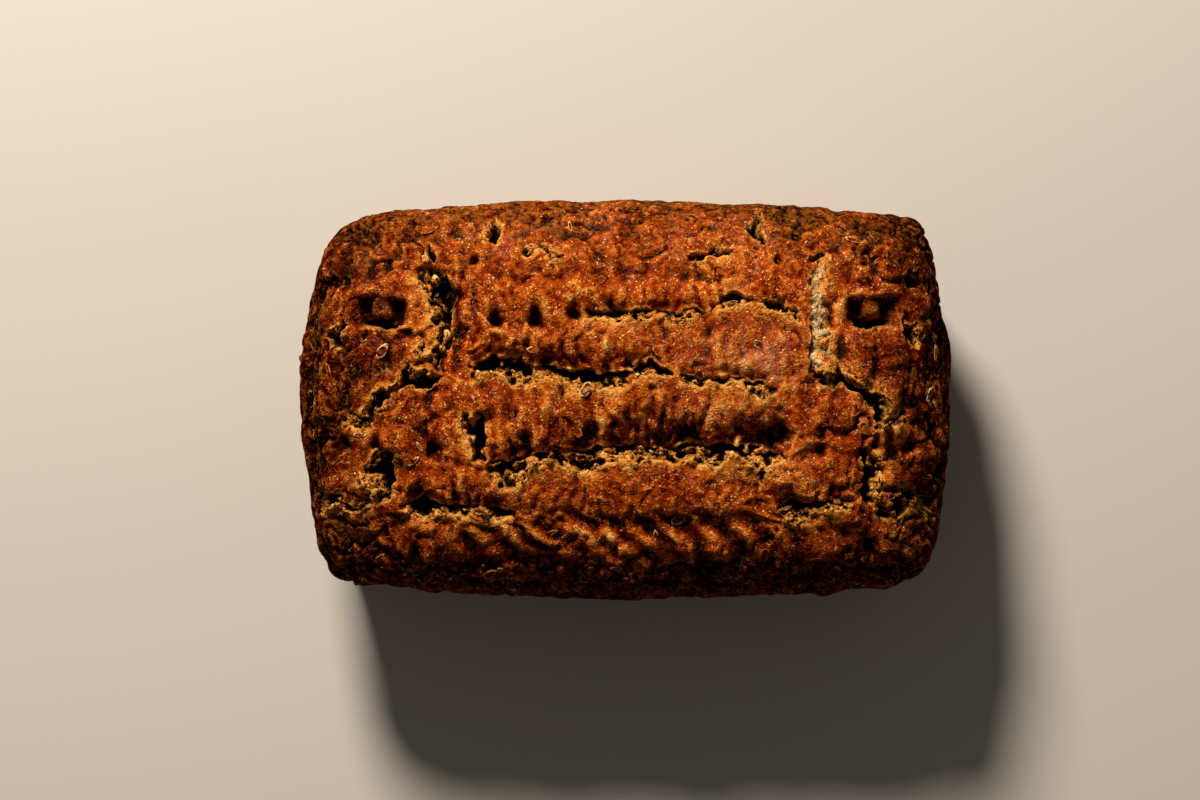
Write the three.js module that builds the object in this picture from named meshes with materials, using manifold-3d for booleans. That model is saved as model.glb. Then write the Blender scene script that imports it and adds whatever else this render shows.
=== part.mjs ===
// A dense rye bread loaf, baked in a tin and turned out: one solid, in millimetres, +Z up.
// The origin is the middle of the flat base. +X runs along the loaf and +Y to its back.
// Its dome has torn into rolls that overlap like shingles. Each tear has a rolled edge on the
// side towards the middle of the loaf and a ragged, crumbly edge on the other side.
import * as THREE from "three";
import { mergeVertices } from "three/addons/utils/BufferGeometryUtils.js";
import Module from "manifold-3d";

// Driving dimensions.
const LENGTH = 220; // end to end at the widest outline
const WIDTH = 135; // front to back at the widest outline
const HEIGHT = 79; // board to crown, before the crust's own unevenness
const RIM_HEIGHT = 45; // height of the widest outline, where the dough bulged over the tin
const BULGE = 2.2; // how far that bulge stands out past the walls
const BULGE_DROP = 9; // how far below the widest outline it ends
const WALL_TAPER = 4.5; // how far the walls lean in from the bulge to the foot
const FOOT_RADIUS = 6; // rounding between the walls and the base

// The dome falls slowly over its middle and steeply at its shoulders.
const END_SHOULDER = 5.4; // power along the length: the higher, the flatter the middle
const SIDE_SHOULDER = 3.1; // power across the width
const CORNERS = { backLeft: 11.5, backRight: 34, frontLeft: 28, frontRight: 26 }; // squareness
const END_BOW = 0.083; // how much the ends draw in towards the corners
const SIDE_BOW = 0.095; // how much the long sides draw in towards the corners

// Mesh density: cells along and across the dome, and rows down the walls.
const CELLS_X = 80;
const CELLS_Y = 52;
const WALL_ROWS = 4;
const COLUMNS = CELLS_X + 1; // points in one line of the dome's grid
const STATION_SAMPLES = 2000; // points that measure the dome's arc length
const RELAX_ROUNDS = 90; // rounds that draw the dome's mesh towards its tears
const RELAX_RENEW = 6; // rounds between new measures of the pull
const RELAX_PULL = 4; // how much finer the mesh gets at a tear
const RELAX_REACH = 3.4; // mm over which that pull fades

// Tears in the dome. A path is followed so that its rolled edge is on the left and its torn,
// crumbly edge on the right. gap is half the width of the opening, torn the width of the
// crumbly slope, and roll how far the crust curls down on the rolled side.
const MIDDLE_TEARS = [
  {
    path: [[-14, 29], [-4, 28.5], [8, 29.7], [18, 29], [27, 28.5]],
    gap: 1.1, depth: 7, torn: 1.6, roll: 3.4,
  },
  {
    path: [[29, 29.5], [33, 33.5], [42, 33.7], [52, 31.3], [58, 27]],
    gap: 1.2, depth: 7, torn: 2, roll: 2.6,
  },
  {
    path: [[-53, 11.5], [-45, 12.6], [-32, 10.5], [-25, 10.2], [-16, 8.7], [3, 8]],
    gap: 1.7, depth: 10, torn: 2.4, roll: 5.4,
  },
  { path: [[1, 8], [8, 11.2], [15, 7.5]], gap: 1, depth: 6, torn: 1.4, roll: 3 },
  { path: [[17, 7.8], [36, 6.8], [50, 3.5]], gap: 0.7, depth: 4, torn: 2, roll: 3.4 },
  {
    path: [[-48, -20], [-40, -22], [-26, -18.8], [-2, -17.3], [12, -16.4], [26, -16.2], [54, -19]],
    gap: 1.4, depth: 9, torn: 3.6, roll: 7.5,
  },
  { path: [[-50.5, -3], [-50.5, -9], [-49.5, -15], [-49, -20]], gap: 2.1, depth: 9, torn: 1.2, roll: 3 },
  {
    path: [[-76, -35.5], [-62, -36.6], [-52, -36.8], [-37, -39.5]],
    gap: 1.3, depth: 7, torn: 0.9, roll: 4.6,
  },
  { path: [[49, -37.7], [59, -36.2], [75, -35]], gap: 1.3, depth: 7, torn: 0.9, roll: 4.6 },
  {
    path: [[-67, 45], [-64, 40], [-60.8, 36], [-59.6, 31], [-60, 24], [-62, 16], [-65, 10.5]],
    gap: 1.7, depth: 11, torn: 4.2, roll: 4.4,
  },
  { path: [[61.8, 8], [61.4, 20], [61.6, 32], [62.6, 46]], gap: 0.5, depth: 1.6, torn: 3.8, roll: 0.5 },
];

const TEAR_WANDER = 1.3; // mm that a tear strays to each side
const TEAR_WANDER_SIZE = 7; // mm from one stray to the next
const TEAR_TAPER = 7; // a tear closes over one part in this many of its length, at each end
const CURL_REACH = 1.9; // a curl starts this many times its own drop away from the edge

// Tears that both ends have, given for the left end and mirrored for the right. The last is the
// crack under the front edge of the sunken pocket.
const END_TEARS = [
  {
    path: [[-62, 9], [-68, 4.5], [-73, 5.5], [-82.5, 0], [-85, -5], [-85.5, -10]],
    gap: 1.3, depth: 7, torn: 2, roll: 2.4,
  },
  {
    path: [[-79, -16.5], [-81.5, -25], [-79.5, -30], [-83, -35.5]],
    gap: 1.6, depth: 8, torn: 2.6, roll: 3,
  },
  {
    path: [[-103, -39], [-99, -34], [-95.5, -32.5], [-90, -36.5], [-84, -35]],
    gap: 1.3, depth: 5.5, torn: 1.2, roll: 2,
  },
  { path: [[-45, 62], [-43, 58.5], [-43, 55], [-44.7, 51.5]], gap: 1.3, depth: 6, torn: 2.4, roll: 0.6 },
  { path: [[-36, 49], [-29, 50], [-20, 47]], gap: 0.9, depth: 3.6, torn: 1.6, roll: 1 },
  { path: [[-67, 51], [-62.5, 46.5]], gap: 1.2, depth: 4, torn: 1.4, roll: 0.8 },
  { path: [[-94, 25], [-98, 18]], gap: 0.9, depth: 3.4, torn: 1.2, roll: 1.2 },
  { path: [[-93, -5], [-88, -8], [-84.5, -8]], gap: 1, depth: 4, torn: 1.4, roll: 1.6 },
  { path: [[-90.5, 26], [-83, 25.4], [-75, 25.8]], gap: 1.1, depth: 8, torn: 0.7, roll: 0.3 },
];

// Soft creases between the rolls, which didn't tear.
const CREASES = [
  {
    path: [[-44, -38.5], [-25, -40.5], [-5, -42], [12, -42], [30, -40.5], [54, -38]],
    halfWidth: 4.2, depth: 3.4,
  },
  { path: [[-40, 44], [-20, 42.5], [0, 44], [24, 42.5], [44, 44]], halfWidth: 4, depth: 1 },
  { path: [[36, -10.5], [46, -12], [57, -13]], halfWidth: 4, depth: 2 },
];
const CREASE_WANDER = 2; // mm that a crease strays to each side
const CREASE_WANDER_SIZE = 9; // mm from one stray to the next
const CREASE_TAPER = 0.2; // share of its length over which a crease fades in, at each end

// Holes: the baker's docking holes in a row at the back, and pits left by gas. tail is how far
// a hole's back wall slopes, where the docker was drawn out at a slant.
const MIDDLE_HOLES = [
  { at: [-43.7, 27.4], radius: 2, tail: 3.6, depth: 7 },
  { at: [-30.1, 27.2], radius: 2, tail: 3.8, depth: 7.5 },
  { at: [-17.2, 29], radius: 2, tail: 3.4, depth: 5.5 },
  { at: [-4.6, 29.5], radius: 1.6, tail: 4, depth: 6 },
  { at: [0.5, 11.5], radius: 1.8, tail: 2, depth: 4 },
  { at: [-26.5, 13.6], radius: 2.2, tail: 2, depth: 7 },
  { at: [-60.3, 34.5], radius: 3.6, tail: 4.4, depth: 8 },
  { at: [51, -11.5], radius: 3.2, tail: 6, depth: 3.6 },
];
const END_HOLES = [
  { at: [-95.4, -15.6], radius: 2.3, tail: 3, depth: 5 },
  { at: [-83.5, -15.6], radius: 2, tail: 3, depth: 4.5 },
  { at: [-64.8, -17], radius: 2.6, tail: 3, depth: 4.5 },
  { at: [-57, 55.5], radius: 1.8, tail: 2.5, depth: 4.5 },
  { at: [-50.8, 47], radius: 1.5, tail: 1.8, depth: 3.4 },
  { at: [-79.7, 45.6], radius: 1.6, tail: 2, depth: 3 },
];
const HOLE_SHAPE = 1.8; // steepness of a hole's wall

// A sunken pocket near the back of each end. A lump stayed up in it, against its back edge.
const POCKET = { at: [82.7, 29.6], halfLength: 8.6, halfWidth: 4.6, depth: 7, steep: 6 };
const POCKET_LUMP = { rise: 5.4, halfLength: 3.9, halfWidth: 3.6, back: 1.2, steep: 4 };
const POCKET_CALM = 2; // mm round a pocket where the crust's unevenness fades
const POCKET_CALM_SHARE = 0.85; // how much of it fades

// Grains: rye and oat flakes baked into the crust, about one in four cells of a lattice.
const GRAIN_PITCH = 13.5;
const GRAIN_SHARE = 0.24;
const GRAIN_CLEAR = 5; // mm that a grain stays away from a tear
const GRAIN_HALF = [2.7, 1.5, 0.9]; // half its length, width and thickness
const GRAIN_SEED = 77;
const GRAIN_EDGE = 0.9; // share of the outline within which grains lie

// ---- Repeatable noise ----

// A repeatable number from 0 to 1 for whole-number coordinates.
function hash(i, j, k, seed) {
  let h = Math.imul(i, 0x27d4eb2d) ^ Math.imul(j, 0x165667b1);
  h ^= Math.imul(k, 0x9e3779b1) ^ Math.imul(seed, 0x85ebca6b);
  h = Math.imul(h ^ (h >>> 15), 0x2c1b3c6d);
  h = Math.imul(h ^ (h >>> 12), 0x297a2d39);
  return ((h ^ (h >>> 15)) >>> 0) / 4294967296;
}

const fade = (t) => t * t * t * (t * (t * 6 - 15) + 10);
const lerp = (a, b, t) => a + (b - a) * t;
const clamp01 = (t) => Math.min(1, Math.max(0, t));
const smoothstep = (low, high, t) => {
  const s = clamp01((t - low) / (high - low));
  return s * s * (3 - 2 * s);
};

// Smooth noise from -1 to 1: the hashes of a cell's eight corners, blended. size is the cell's.
function noise([x, y, z], size, seed) {
  const px = x / size, py = y / size, pz = z / size;
  const i = Math.floor(px), j = Math.floor(py), k = Math.floor(pz);
  const u = fade(px - i), v = fade(py - j), w = fade(pz - k);
  const edge = (dj, dk) => lerp(hash(i, j + dj, k + dk, seed), hash(i + 1, j + dj, k + dk, seed), u);
  return 2 * lerp(lerp(edge(0, 0), edge(1, 0), v), lerp(edge(0, 1), edge(1, 1), v), w) - 1;
}

// Distance to the nearest of one jittered point in each cell, as a share of the cell.
function cellDistance([x, y, z], size, seed) {
  const px = x / size, py = y / size, pz = z / size;
  const i = Math.floor(px), j = Math.floor(py), k = Math.floor(pz);
  let nearest = Infinity;
  for (let di = -1; di <= 1; di++)
    for (let dj = -1; dj <= 1; dj++)
      for (let dk = -1; dk <= 1; dk++) {
        const ci = i + di, cj = j + dj, ck = k + dk;
        nearest = Math.min(nearest, Math.hypot(
          ci + hash(ci, cj, ck, seed) - px,
          cj + hash(ci, cj, ck, seed + 1) - py,
          ck + hash(ci, cj, ck, seed + 2) - pz,
        ));
      }
  return nearest;
}

// ---- The smooth loaf ----

// Where the dome's square coordinates a and b, each from -1 to 1, lie on the loaf: the square
// becomes a rounded rectangle with bowed sides, and the two shoulders together set the height.
function domePoint(a, b) {
  const reach = Math.max(Math.abs(a), Math.abs(b));
  const power = CORNERS[(b > 0 ? "back" : "front") + (a < 0 ? "Left" : "Right")];
  const shrink = (Math.abs(a / reach) ** power + Math.abs(b / reach) ** power) ** (-1 / power);
  const round = reach > 0 ? shrink : 1;
  const u = a * round, v = b * round;
  const fallX = 1 - Math.abs(a) ** END_SHOULDER;
  const fallY = 1 - Math.abs(b) ** SIDE_SHOULDER;
  const rise = Math.sqrt((fallX * fallY) / Math.max(fallX + fallY - fallX * fallY, 1e-9));
  return [
    (LENGTH / 2) * u * (1 - END_BOW * v * v),
    (WIDTH / 2) * v * (1 - SIDE_BOW * u * u),
    RIM_HEIGHT + (HEIGHT - RIM_HEIGHT) * rise,
  ];
}

// Values from -1 to 1 that cut the curve at(value) into n equal lengths. The samples crowd
// towards the ends, where the dome drops steeply.
function evenStations(n, at) {
  const values = [], lengths = [0];
  for (let s = 0; s <= STATION_SAMPLES; s++) values.push(-Math.cos((Math.PI * s) / STATION_SAMPLES));
  for (let s = 1; s <= STATION_SAMPLES; s++) {
    const [p, q] = [at(values[s - 1]), at(values[s])];
    lengths.push(lengths[s - 1] + Math.hypot(q[0] - p[0], q[1] - p[1], q[2] - p[2]));
  }
  const stations = [];
  for (let i = 0, s = 0; i <= n; i++) {
    const target = (lengths[STATION_SAMPLES] * i) / n;
    while (s < STATION_SAMPLES - 1 && lengths[s + 1] < target) s++;
    const share = (target - lengths[s]) / (lengths[s + 1] - lengths[s]);
    stations.push(clamp01((lerp(values[s], values[s + 1], clamp01(share)) + 1) / 2) * 2 - 1);
  }
  return stations;
}

// The wall under a point of the rim, down a share t from 0 at the rim to 1 at the base.
function wallPoint([x, y], t) {
  const z = RIM_HEIGHT * (1 - t);
  const rise = Math.min(z, FOOT_RADIUS);
  const foot = FOOT_RADIUS - Math.sqrt(FOOT_RADIUS ** 2 - (FOOT_RADIUS - rise) ** 2);
  const inset = BULGE * smoothstep(RIM_HEIGHT, RIM_HEIGHT - BULGE_DROP, z) + WALL_TAPER * t + foot;
  return [x * (1 - inset / (LENGTH / 2)), y * (1 - inset / (WIDTH / 2)), z];
}

// ---- The torn and pitted crust ----

const mirrored = ({ path, ...sizes }) => ({ path: path.map(([x, y]) => [-x, y]).reverse(), ...sizes });
const TEARS = [...MIDDLE_TEARS, ...END_TEARS, ...END_TEARS.map(mirrored)];
const HOLES = [...MIDDLE_HOLES, ...END_HOLES, ...END_HOLES.map((h) => ({ ...h, at: [-h.at[0], h.at[1]] }))];

// The nearest point of a path: the signed distance, positive on the left, and the share of the
// path's length at which it lies.
function alongPath(path, x, y) {
  let best = Infinity, side = 0, at = 0, total = 0;
  for (let n = 1; n < path.length; n++) {
    const [x0, y0] = path[n - 1], [x1, y1] = path[n];
    const dx = x1 - x0, dy = y1 - y0, length = Math.hypot(dx, dy);
    const t = clamp01(((x - x0) * dx + (y - y0) * dy) / length ** 2);
    const away = Math.hypot(x - x0 - t * dx, y - y0 - t * dy);
    if (away < best) {
      best = away;
      side = Math.sign(dx * (y - y0) - dy * (x - x0)) || 1;
      at = total + t * length;
    }
    total += length;
  }
  return { away: best * side, share: at / total, total };
}

// How deep the tears and rolled edges go at a point of the dome, in mm. On the left of a path
// the crust curls down and drops into the opening. On the right the crumb climbs out of it.
function tearDepth(point) {
  const x = point[0] + TEAR_WANDER * noise(point, TEAR_WANDER_SIZE, 11);
  const y = point[1] + TEAR_WANDER * noise(point, TEAR_WANDER_SIZE, 12);
  let open = 0, curl = 0;
  for (const { path, gap, depth, torn, roll } of TEARS) {
    const { away, share, total } = alongPath(path, x, y);
    const taper = Math.sqrt(clamp01(share * TEAR_TAPER) * clamp01((1 - share) * TEAR_TAPER));
    const half = gap * taper * Math.max(0.95 + 0.6 * noise([share * total, 0, 0], 8, 15), 0.05);
    const beyond = Math.abs(away) - half;
    if (away >= 0) {
      const curled = clamp01(1 - Math.max(beyond, 0) / (CURL_REACH * roll + 1)) ** 1.8;
      open = Math.max(open, depth * taper * smoothstep(0.6, -0.5, beyond));
      curl = Math.max(curl, roll * taper * curled);
    } else {
      const climb = beyond < 0 ? 1 : 0.65 * clamp01(1 - beyond / torn) ** 1.2;
      open = Math.max(open, depth * taper * climb);
      curl = Math.max(curl, -0.8 * taper * Math.exp(-(((beyond - torn) / 1.6) ** 2)));
    }
  }
  return open + curl;
}

function creaseDepth(point) {
  const x = point[0] + CREASE_WANDER * noise(point, CREASE_WANDER_SIZE, 65);
  const y = point[1] + CREASE_WANDER * noise(point, CREASE_WANDER_SIZE, 66);
  let deepest = 0;
  for (const { path, halfWidth, depth } of CREASES) {
    const { away, share } = alongPath(path, x, y);
    const taper = smoothstep(0, CREASE_TAPER, share) * smoothstep(1, 1 - CREASE_TAPER, share);
    deepest = Math.max(deepest, depth * taper * Math.exp(-((away / halfWidth) ** 2)));
  }
  return deepest;
}

function holeDepth([x, y]) {
  let depth = 0;
  for (const hole of HOLES) {
    const dy = y - hole.at[1];
    const away = Math.hypot((x - hole.at[0]) / hole.radius, dy / (dy > 0 ? hole.tail : hole.radius));
    depth = Math.max(depth, hole.depth * Math.exp(-(away ** HOLE_SHAPE)));
  }
  return depth;
}

// How far a point lies from the middle of a boxy shape: 1 on its outline, more outside.
const boxy = (dx, dy, { halfLength, halfWidth, steep }) =>
  Math.abs(dx / halfLength) ** steep + Math.abs(dy / halfWidth) ** steep;

function pocketDepth([x, y]) {
  const dx = Math.abs(x) - POCKET.at[0];
  const dy = y - POCKET.at[1];
  const lump = POCKET_LUMP.rise * Math.exp(-boxy(dx, dy - POCKET_LUMP.back, POCKET_LUMP));
  return (POCKET.depth - lump) * Math.exp(-boxy(dx, dy, POCKET));
}

// The crust's own unevenness: broad swells, round nodules and folds that are bolder at the ends
// and along the front, and pleats that run down each roll. It fades round the pockets.
function crustRelief(point) {
  const [x, y, z] = point;
  const ends = smoothstep(52, 72, Math.abs(x));
  const front = smoothstep(-40, -50, y);
  const bold = Math.max(ends, 0.7 * front);
  const swell = 1.2 * noise(point, 21, 21) + 0.9 * noise(point, 10, 22);
  const nodule = 0.5 - cellDistance(point, 8.5, 23) ** 2;
  const fold = Math.abs(noise([x, 0.7 * y, z], 11, 25)) - 0.3;
  const pleat = noise([x, y / 3.4, 0], 4.2, 24);
  const calm = {
    halfLength: POCKET.halfLength + POCKET_CALM,
    halfWidth: POCKET.halfWidth + POCKET_CALM,
    steep: 4,
  };
  const near = Math.exp(-boxy(Math.abs(x) - POCKET.at[0], y - POCKET.at[1], calm));
  const relief = swell + (0.3 + 0.9 * bold) * nodule + (0.6 + 2.4 * ends + 0.8 * front) * fold;
  return (relief + 0.6 * (1 - bold) * pleat) * (1 - POCKET_CALM_SHARE * near);
}

// How far the crust stands out of the smooth loaf at a point. The foot stays flat, the tin kept
// the walls flatter than the dome, and the tears stop at the widest outline.
function standOut(point) {
  const z = point[2];
  const onDome = smoothstep(RIM_HEIGHT - 3, RIM_HEIGHT + 6, z);
  const depths = [tearDepth, holeDepth, pocketDepth, creaseDepth].map((depth) => depth(point));
  const sunk = onDome * depths.reduce((sum, depth) => sum + depth, 0);
  const wall = lerp(0.25, 0.45, smoothstep(RIM_HEIGHT - BULGE_DROP, RIM_HEIGHT, z));
  const rough = lerp(wall, 1, smoothstep(RIM_HEIGHT, RIM_HEIGHT + 14, z));
  return smoothstep(0, FOOT_RADIUS, z) * rough * crustRelief(point) - sunk;
}

// ---- The mesh ----

// The dome's grid of points on the smooth loaf, its inner ones drawn towards the tears and holes.
function domeGrid() {
  const along = evenStations(CELLS_X, (a) => domePoint(a, 0));
  const across = evenStations(CELLS_Y, (b) => domePoint(0, b));
  const read = (stations, s) => {
    const i = Math.min(Math.floor(s), stations.length - 2);
    return lerp(stations[i], stations[i + 1], s - i);
  };
  const place = ([s, t]) => domePoint(read(along, s), read(across, t));
  const pullAt = (here) => {
    const [x, y] = place(here);
    let nearest = Infinity;
    for (const { path } of TEARS) nearest = Math.min(nearest, Math.abs(alongPath(path, x, y).away));
    for (const { at } of HOLES) nearest = Math.min(nearest, Math.hypot(x - at[0], y - at[1]));
    return 1 + RELAX_PULL * Math.exp(-((nearest / RELAX_REACH) ** 2));
  };
  let grid = [];
  for (let j = 0; j <= CELLS_Y; j++) for (let i = 0; i <= CELLS_X; i++) grid.push([i, j]);
  let pull = [];
  for (let round = 0; round < RELAX_ROUNDS; round++) {
    if (round % RELAX_RENEW === 0) pull = grid.map(pullAt);
    grid = grid.map((here, n) => {
      const i = n % COLUMNS, j = Math.floor(n / COLUMNS);
      if (i === 0 || j === 0 || i === CELLS_X || j === CELLS_Y) return here;
      let s = 0, t = 0, sum = 0;
      for (const m of [n - 1, n + 1, n - COLUMNS, n + COLUMNS]) {
        const weight = pull[n] + pull[m];
        s += weight * grid[m][0];
        t += weight * grid[m][1];
        sum += weight;
      }
      return [s / sum, t / sum];
    });
  }
  return grid.map(place);
}

// The numbers of the dome's edge points, in order round the loaf.
function rimRing() {
  const ring = [];
  for (let i = 0; i < CELLS_X; i++) ring.push(i);
  for (let j = 0; j < CELLS_Y; j++) ring.push(j * COLUMNS + CELLS_X);
  for (let i = CELLS_X; i > 0; i--) ring.push(CELLS_Y * COLUMNS + i);
  for (let j = CELLS_Y; j > 0; j--) ring.push(j * COLUMNS);
  return ring;
}

// The smooth loaf's points: the dome's grid, rows of wall under its edge, and the base's middle.
function smoothPoints() {
  const points = domeGrid();
  const rim = rimRing().map((n) => points[n]);
  for (let row = 1; row <= WALL_ROWS; row++) {
    const t = (1 - Math.cos((Math.PI * row) / WALL_ROWS)) / 2;
    points.push(...rim.map((point) => wallPoint(point, t)));
  }
  points.push([0, 0, 0]);
  return points;
}

// The triangles between the loaf's points. Each cell is split along its shorter diagonal, which
// keeps the tears' edges whole.
function facesOf(points) {
  const faces = [];
  const apart = (p, q) => Math.hypot(...points[p].map((value, axis) => value - points[q][axis]));
  const cell = (p, q, r, s) => {
    if (apart(p, r) < apart(q, s)) faces.push(p, q, r, p, r, s);
    else faces.push(q, r, s, q, s, p);
  };
  for (let j = 0; j < CELLS_Y; j++)
    for (let i = 0; i < CELLS_X; i++) {
      const n = j * COLUMNS + i;
      cell(n, n + 1, n + COLUMNS + 1, n + COLUMNS);
    }
  let above = rimRing();
  const count = above.length;
  for (let row = 0; row < WALL_ROWS; row++) {
    const first = COLUMNS * (CELLS_Y + 1) + row * count;
    const below = above.map((_, k) => first + k);
    for (let k = 0; k < count; k++) {
      const next = (k + 1) % count;
      cell(above[k], below[k], below[next], above[next]);
    }
    above = below;
  }
  const middle = points.length - 1;
  for (let k = 0; k < count; k++) faces.push(above[k], middle, above[(k + 1) % count]);
  return faces;
}

function geometryOf(points) {
  const geometry = new THREE.BufferGeometry();
  geometry.setAttribute("position", new THREE.Float32BufferAttribute(points.flat(), 3));
  geometry.setIndex(facesOf(points));
  geometry.computeVertexNormals();
  return geometry;
}

// The loaf with its crust: each point moved along the smooth loaf's normal.
function crustGeometry() {
  const points = smoothPoints();
  const normals = geometryOf(points).getAttribute("normal");
  const moved = points.map((point, n) => {
    const out = standOut(point);
    return [
      point[0] + out * normals.getX(n),
      point[1] + out * normals.getY(n),
      Math.max(0, point[2] + out * normals.getZ(n)),
    ];
  });
  return geometryOf(moved);
}

// ---- Grains ----

// One grain, half sunk in the crust at x, y and turned flat against the dome there.
function grainGeometry(x, y, cell) {
  const a = x / (LENGTH / 2), b = y / (WIDTH / 2);
  const step = 0.01;
  const [p, px, py] = [domePoint(a, b), domePoint(a + step, b), domePoint(a, b + step)];
  const [here, alongX, alongY] = [p, px, py].map((q) => new THREE.Vector3(...q));
  const normal = alongX.sub(here).cross(alongY.sub(here)).normalize();
  const up = new THREE.Vector3(0, 0, 1);
  const turn = new THREE.Quaternion().setFromUnitVectors(up, normal);
  const spin = new THREE.Quaternion().setFromAxisAngle(up, Math.PI * hash(...cell, 4, GRAIN_SEED));
  const size = 0.8 + 0.4 * hash(...cell, 5, GRAIN_SEED);
  const grain = new THREE.OctahedronGeometry(1, 1);
  grain.scale(...GRAIN_HALF.map((half) => half * size));
  grain.applyQuaternion(turn.multiply(spin));
  here.addScaledVector(normal, standOut(p));
  return grain.translate(here.x, here.y, here.z);
}

function grainGeometries() {
  const grains = [];
  const reachX = Math.ceil(LENGTH / 2 / GRAIN_PITCH), reachY = Math.ceil(WIDTH / 2 / GRAIN_PITCH);
  for (let i = -reachX; i <= reachX; i++)
    for (let j = -reachY; j <= reachY; j++) {
      if (hash(i, j, 1, GRAIN_SEED) > GRAIN_SHARE) continue;
      const x = (i + 0.8 * (hash(i, j, 2, GRAIN_SEED) - 0.5)) * GRAIN_PITCH;
      const y = (j + 0.8 * (hash(i, j, 3, GRAIN_SEED) - 0.5)) * GRAIN_PITCH;
      const inside = Math.max(Math.abs(x) / (LENGTH / 2), Math.abs(y) / (WIDTH / 2)) < GRAIN_EDGE;
      const clear = TEARS.every(({ path }) => Math.abs(alongPath(path, x, y).away) > GRAIN_CLEAR);
      if (inside && clear) grains.push(grainGeometry(x, y, [i, j]));
    }
  return grains;
}

// ---- One solid ----

const wasm = await Module();
wasm.setup();

function solidOf(geometry) {
  const bare = geometry.clone();
  for (const name of ["normal", "uv"]) bare.deleteAttribute(name);
  const { attributes, index } = mergeVertices(bare, 1e-4);
  const mesh = new wasm.Mesh({
    numProp: 3,
    vertProperties: attributes.position.array,
    triVerts: new Uint32Array(index.array),
  });
  return new wasm.Manifold(mesh);
}

// The crust and its grains joined, without the loose scraps that joining may leave.
function loafGeometry() {
  const whole = grainGeometries().reduce((sum, grain) => sum.add(solidOf(grain)), solidOf(crustGeometry()));
  const [loaf] = whole.decompose().sort((p, q) => q.volume() - p.volume());
  const { vertProperties, triVerts } = loaf.getMesh();
  const geometry = new THREE.BufferGeometry();
  geometry.setAttribute("position", new THREE.BufferAttribute(vertProperties, 3));
  geometry.setIndex(new THREE.BufferAttribute(triVerts, 1));
  geometry.computeBoundingBox();
  const centre = geometry.boundingBox.getCenter(new THREE.Vector3());
  geometry.translate(-centre.x, -centre.y, -geometry.boundingBox.min.z);
  geometry.computeVertexNormals();
  return geometry;
}

const crust = new THREE.MeshStandardMaterial({ color: 0x8a4519, roughness: 0.55, metalness: 0 });
const loaf = new THREE.Mesh(loafGeometry(), crust);
loaf.name = "rye_loaf";

const group = new THREE.Group();
group.add(loaf);
export default group;
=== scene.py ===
"""A rye bread loaf, baked in a tin and turned out. Lengths are in millimetres until a mesh is made.

+X runs along the loaf, +Y to its back and +Z up. The origin is the middle of the flat base.
"""

from types import SimpleNamespace

import bmesh
import bpy
import numpy as np
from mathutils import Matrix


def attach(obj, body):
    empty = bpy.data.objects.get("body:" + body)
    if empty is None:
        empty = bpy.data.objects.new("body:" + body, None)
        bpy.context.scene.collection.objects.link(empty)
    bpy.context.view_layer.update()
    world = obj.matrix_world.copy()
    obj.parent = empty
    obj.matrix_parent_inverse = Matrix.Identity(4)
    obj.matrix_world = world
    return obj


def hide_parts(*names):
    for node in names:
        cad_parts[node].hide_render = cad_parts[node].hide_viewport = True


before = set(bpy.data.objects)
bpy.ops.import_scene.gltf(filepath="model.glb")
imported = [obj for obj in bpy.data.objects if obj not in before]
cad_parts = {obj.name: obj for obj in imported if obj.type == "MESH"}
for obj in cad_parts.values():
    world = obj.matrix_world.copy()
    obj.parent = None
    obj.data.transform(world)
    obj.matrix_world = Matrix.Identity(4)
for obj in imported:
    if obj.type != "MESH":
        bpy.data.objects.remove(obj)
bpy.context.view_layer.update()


# ---- Crust -------------------------------------------------------------------------------------
# One closed skin of baked rye dough. It rose out of the tin as a dome, set hard from the edges in,
# and then tore along the middle into long rolls that overlap like shingles. It is one mesh: the
# smooth loaf's points, moved along their normals by the swells, nodules, tears and holes.

LENGTH = 220.0  # end to end at the widest outline
WIDTH = 135.0  # front to back at the widest outline
HEIGHT = 79.0  # table to crown
RIM_HEIGHT = 45.0  # height of the widest outline, where the dough bulged over the tin
BULGE = 2.2  # how far that bulge stands out past the walls
BULGE_DROP = 9.0  # how far below the widest outline it ends
WALL_TAPER = 4.5  # how far the walls lean in from the bulge to the foot
FOOT_RADIUS = 6.0  # rounding between the walls and the base

END_SHOULDER = 5.4  # power of the dome's fall along the length
SIDE_SHOULDER = 3.1  # power of the dome's fall across the width
CORNERS = {(-1, 1): 11.5, (1, 1): 34.0, (-1, -1): 28.0, (1, -1): 26.0}  # squareness, by sides
END_BOW = 0.083  # how much the ends draw in towards the corners
SIDE_BOW = 0.095  # how much the long sides draw in towards the corners


def hashed(i, j, k, seed):
    """A repeatable number from 0 to 1 for whole-number coordinates: their bits mixed twice."""
    mixed = np.zeros(np.broadcast(i, j, k).shape, np.uint32)
    for value, factor in ((i, 0x27D4EB2D), (j, 0x165667B1), (k, 0x9E3779B1)):
        mixed = mixed ^ (np.asarray(value, np.int64) * factor & 0xFFFFFFFF).astype(np.uint32)
    mixed = mixed ^ np.uint32(seed * 0x85EBCA6B & 0xFFFFFFFF)
    for shift, factor in ((15, 0x2C1B3C6D), (12, 0x297A2D39)):
        mixed = (mixed ^ (mixed >> np.uint32(shift))) * np.uint32(factor)
    return (mixed ^ (mixed >> np.uint32(15))) / 4294967296.0


def smoothstep(low, high, value):
    """0 below low, 1 above high, and between them the cubic 3s² - 2s³ of the share s."""
    s = np.clip((value - low) / (high - low), 0, 1)
    return s * s * (3 - 2 * s)


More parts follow.
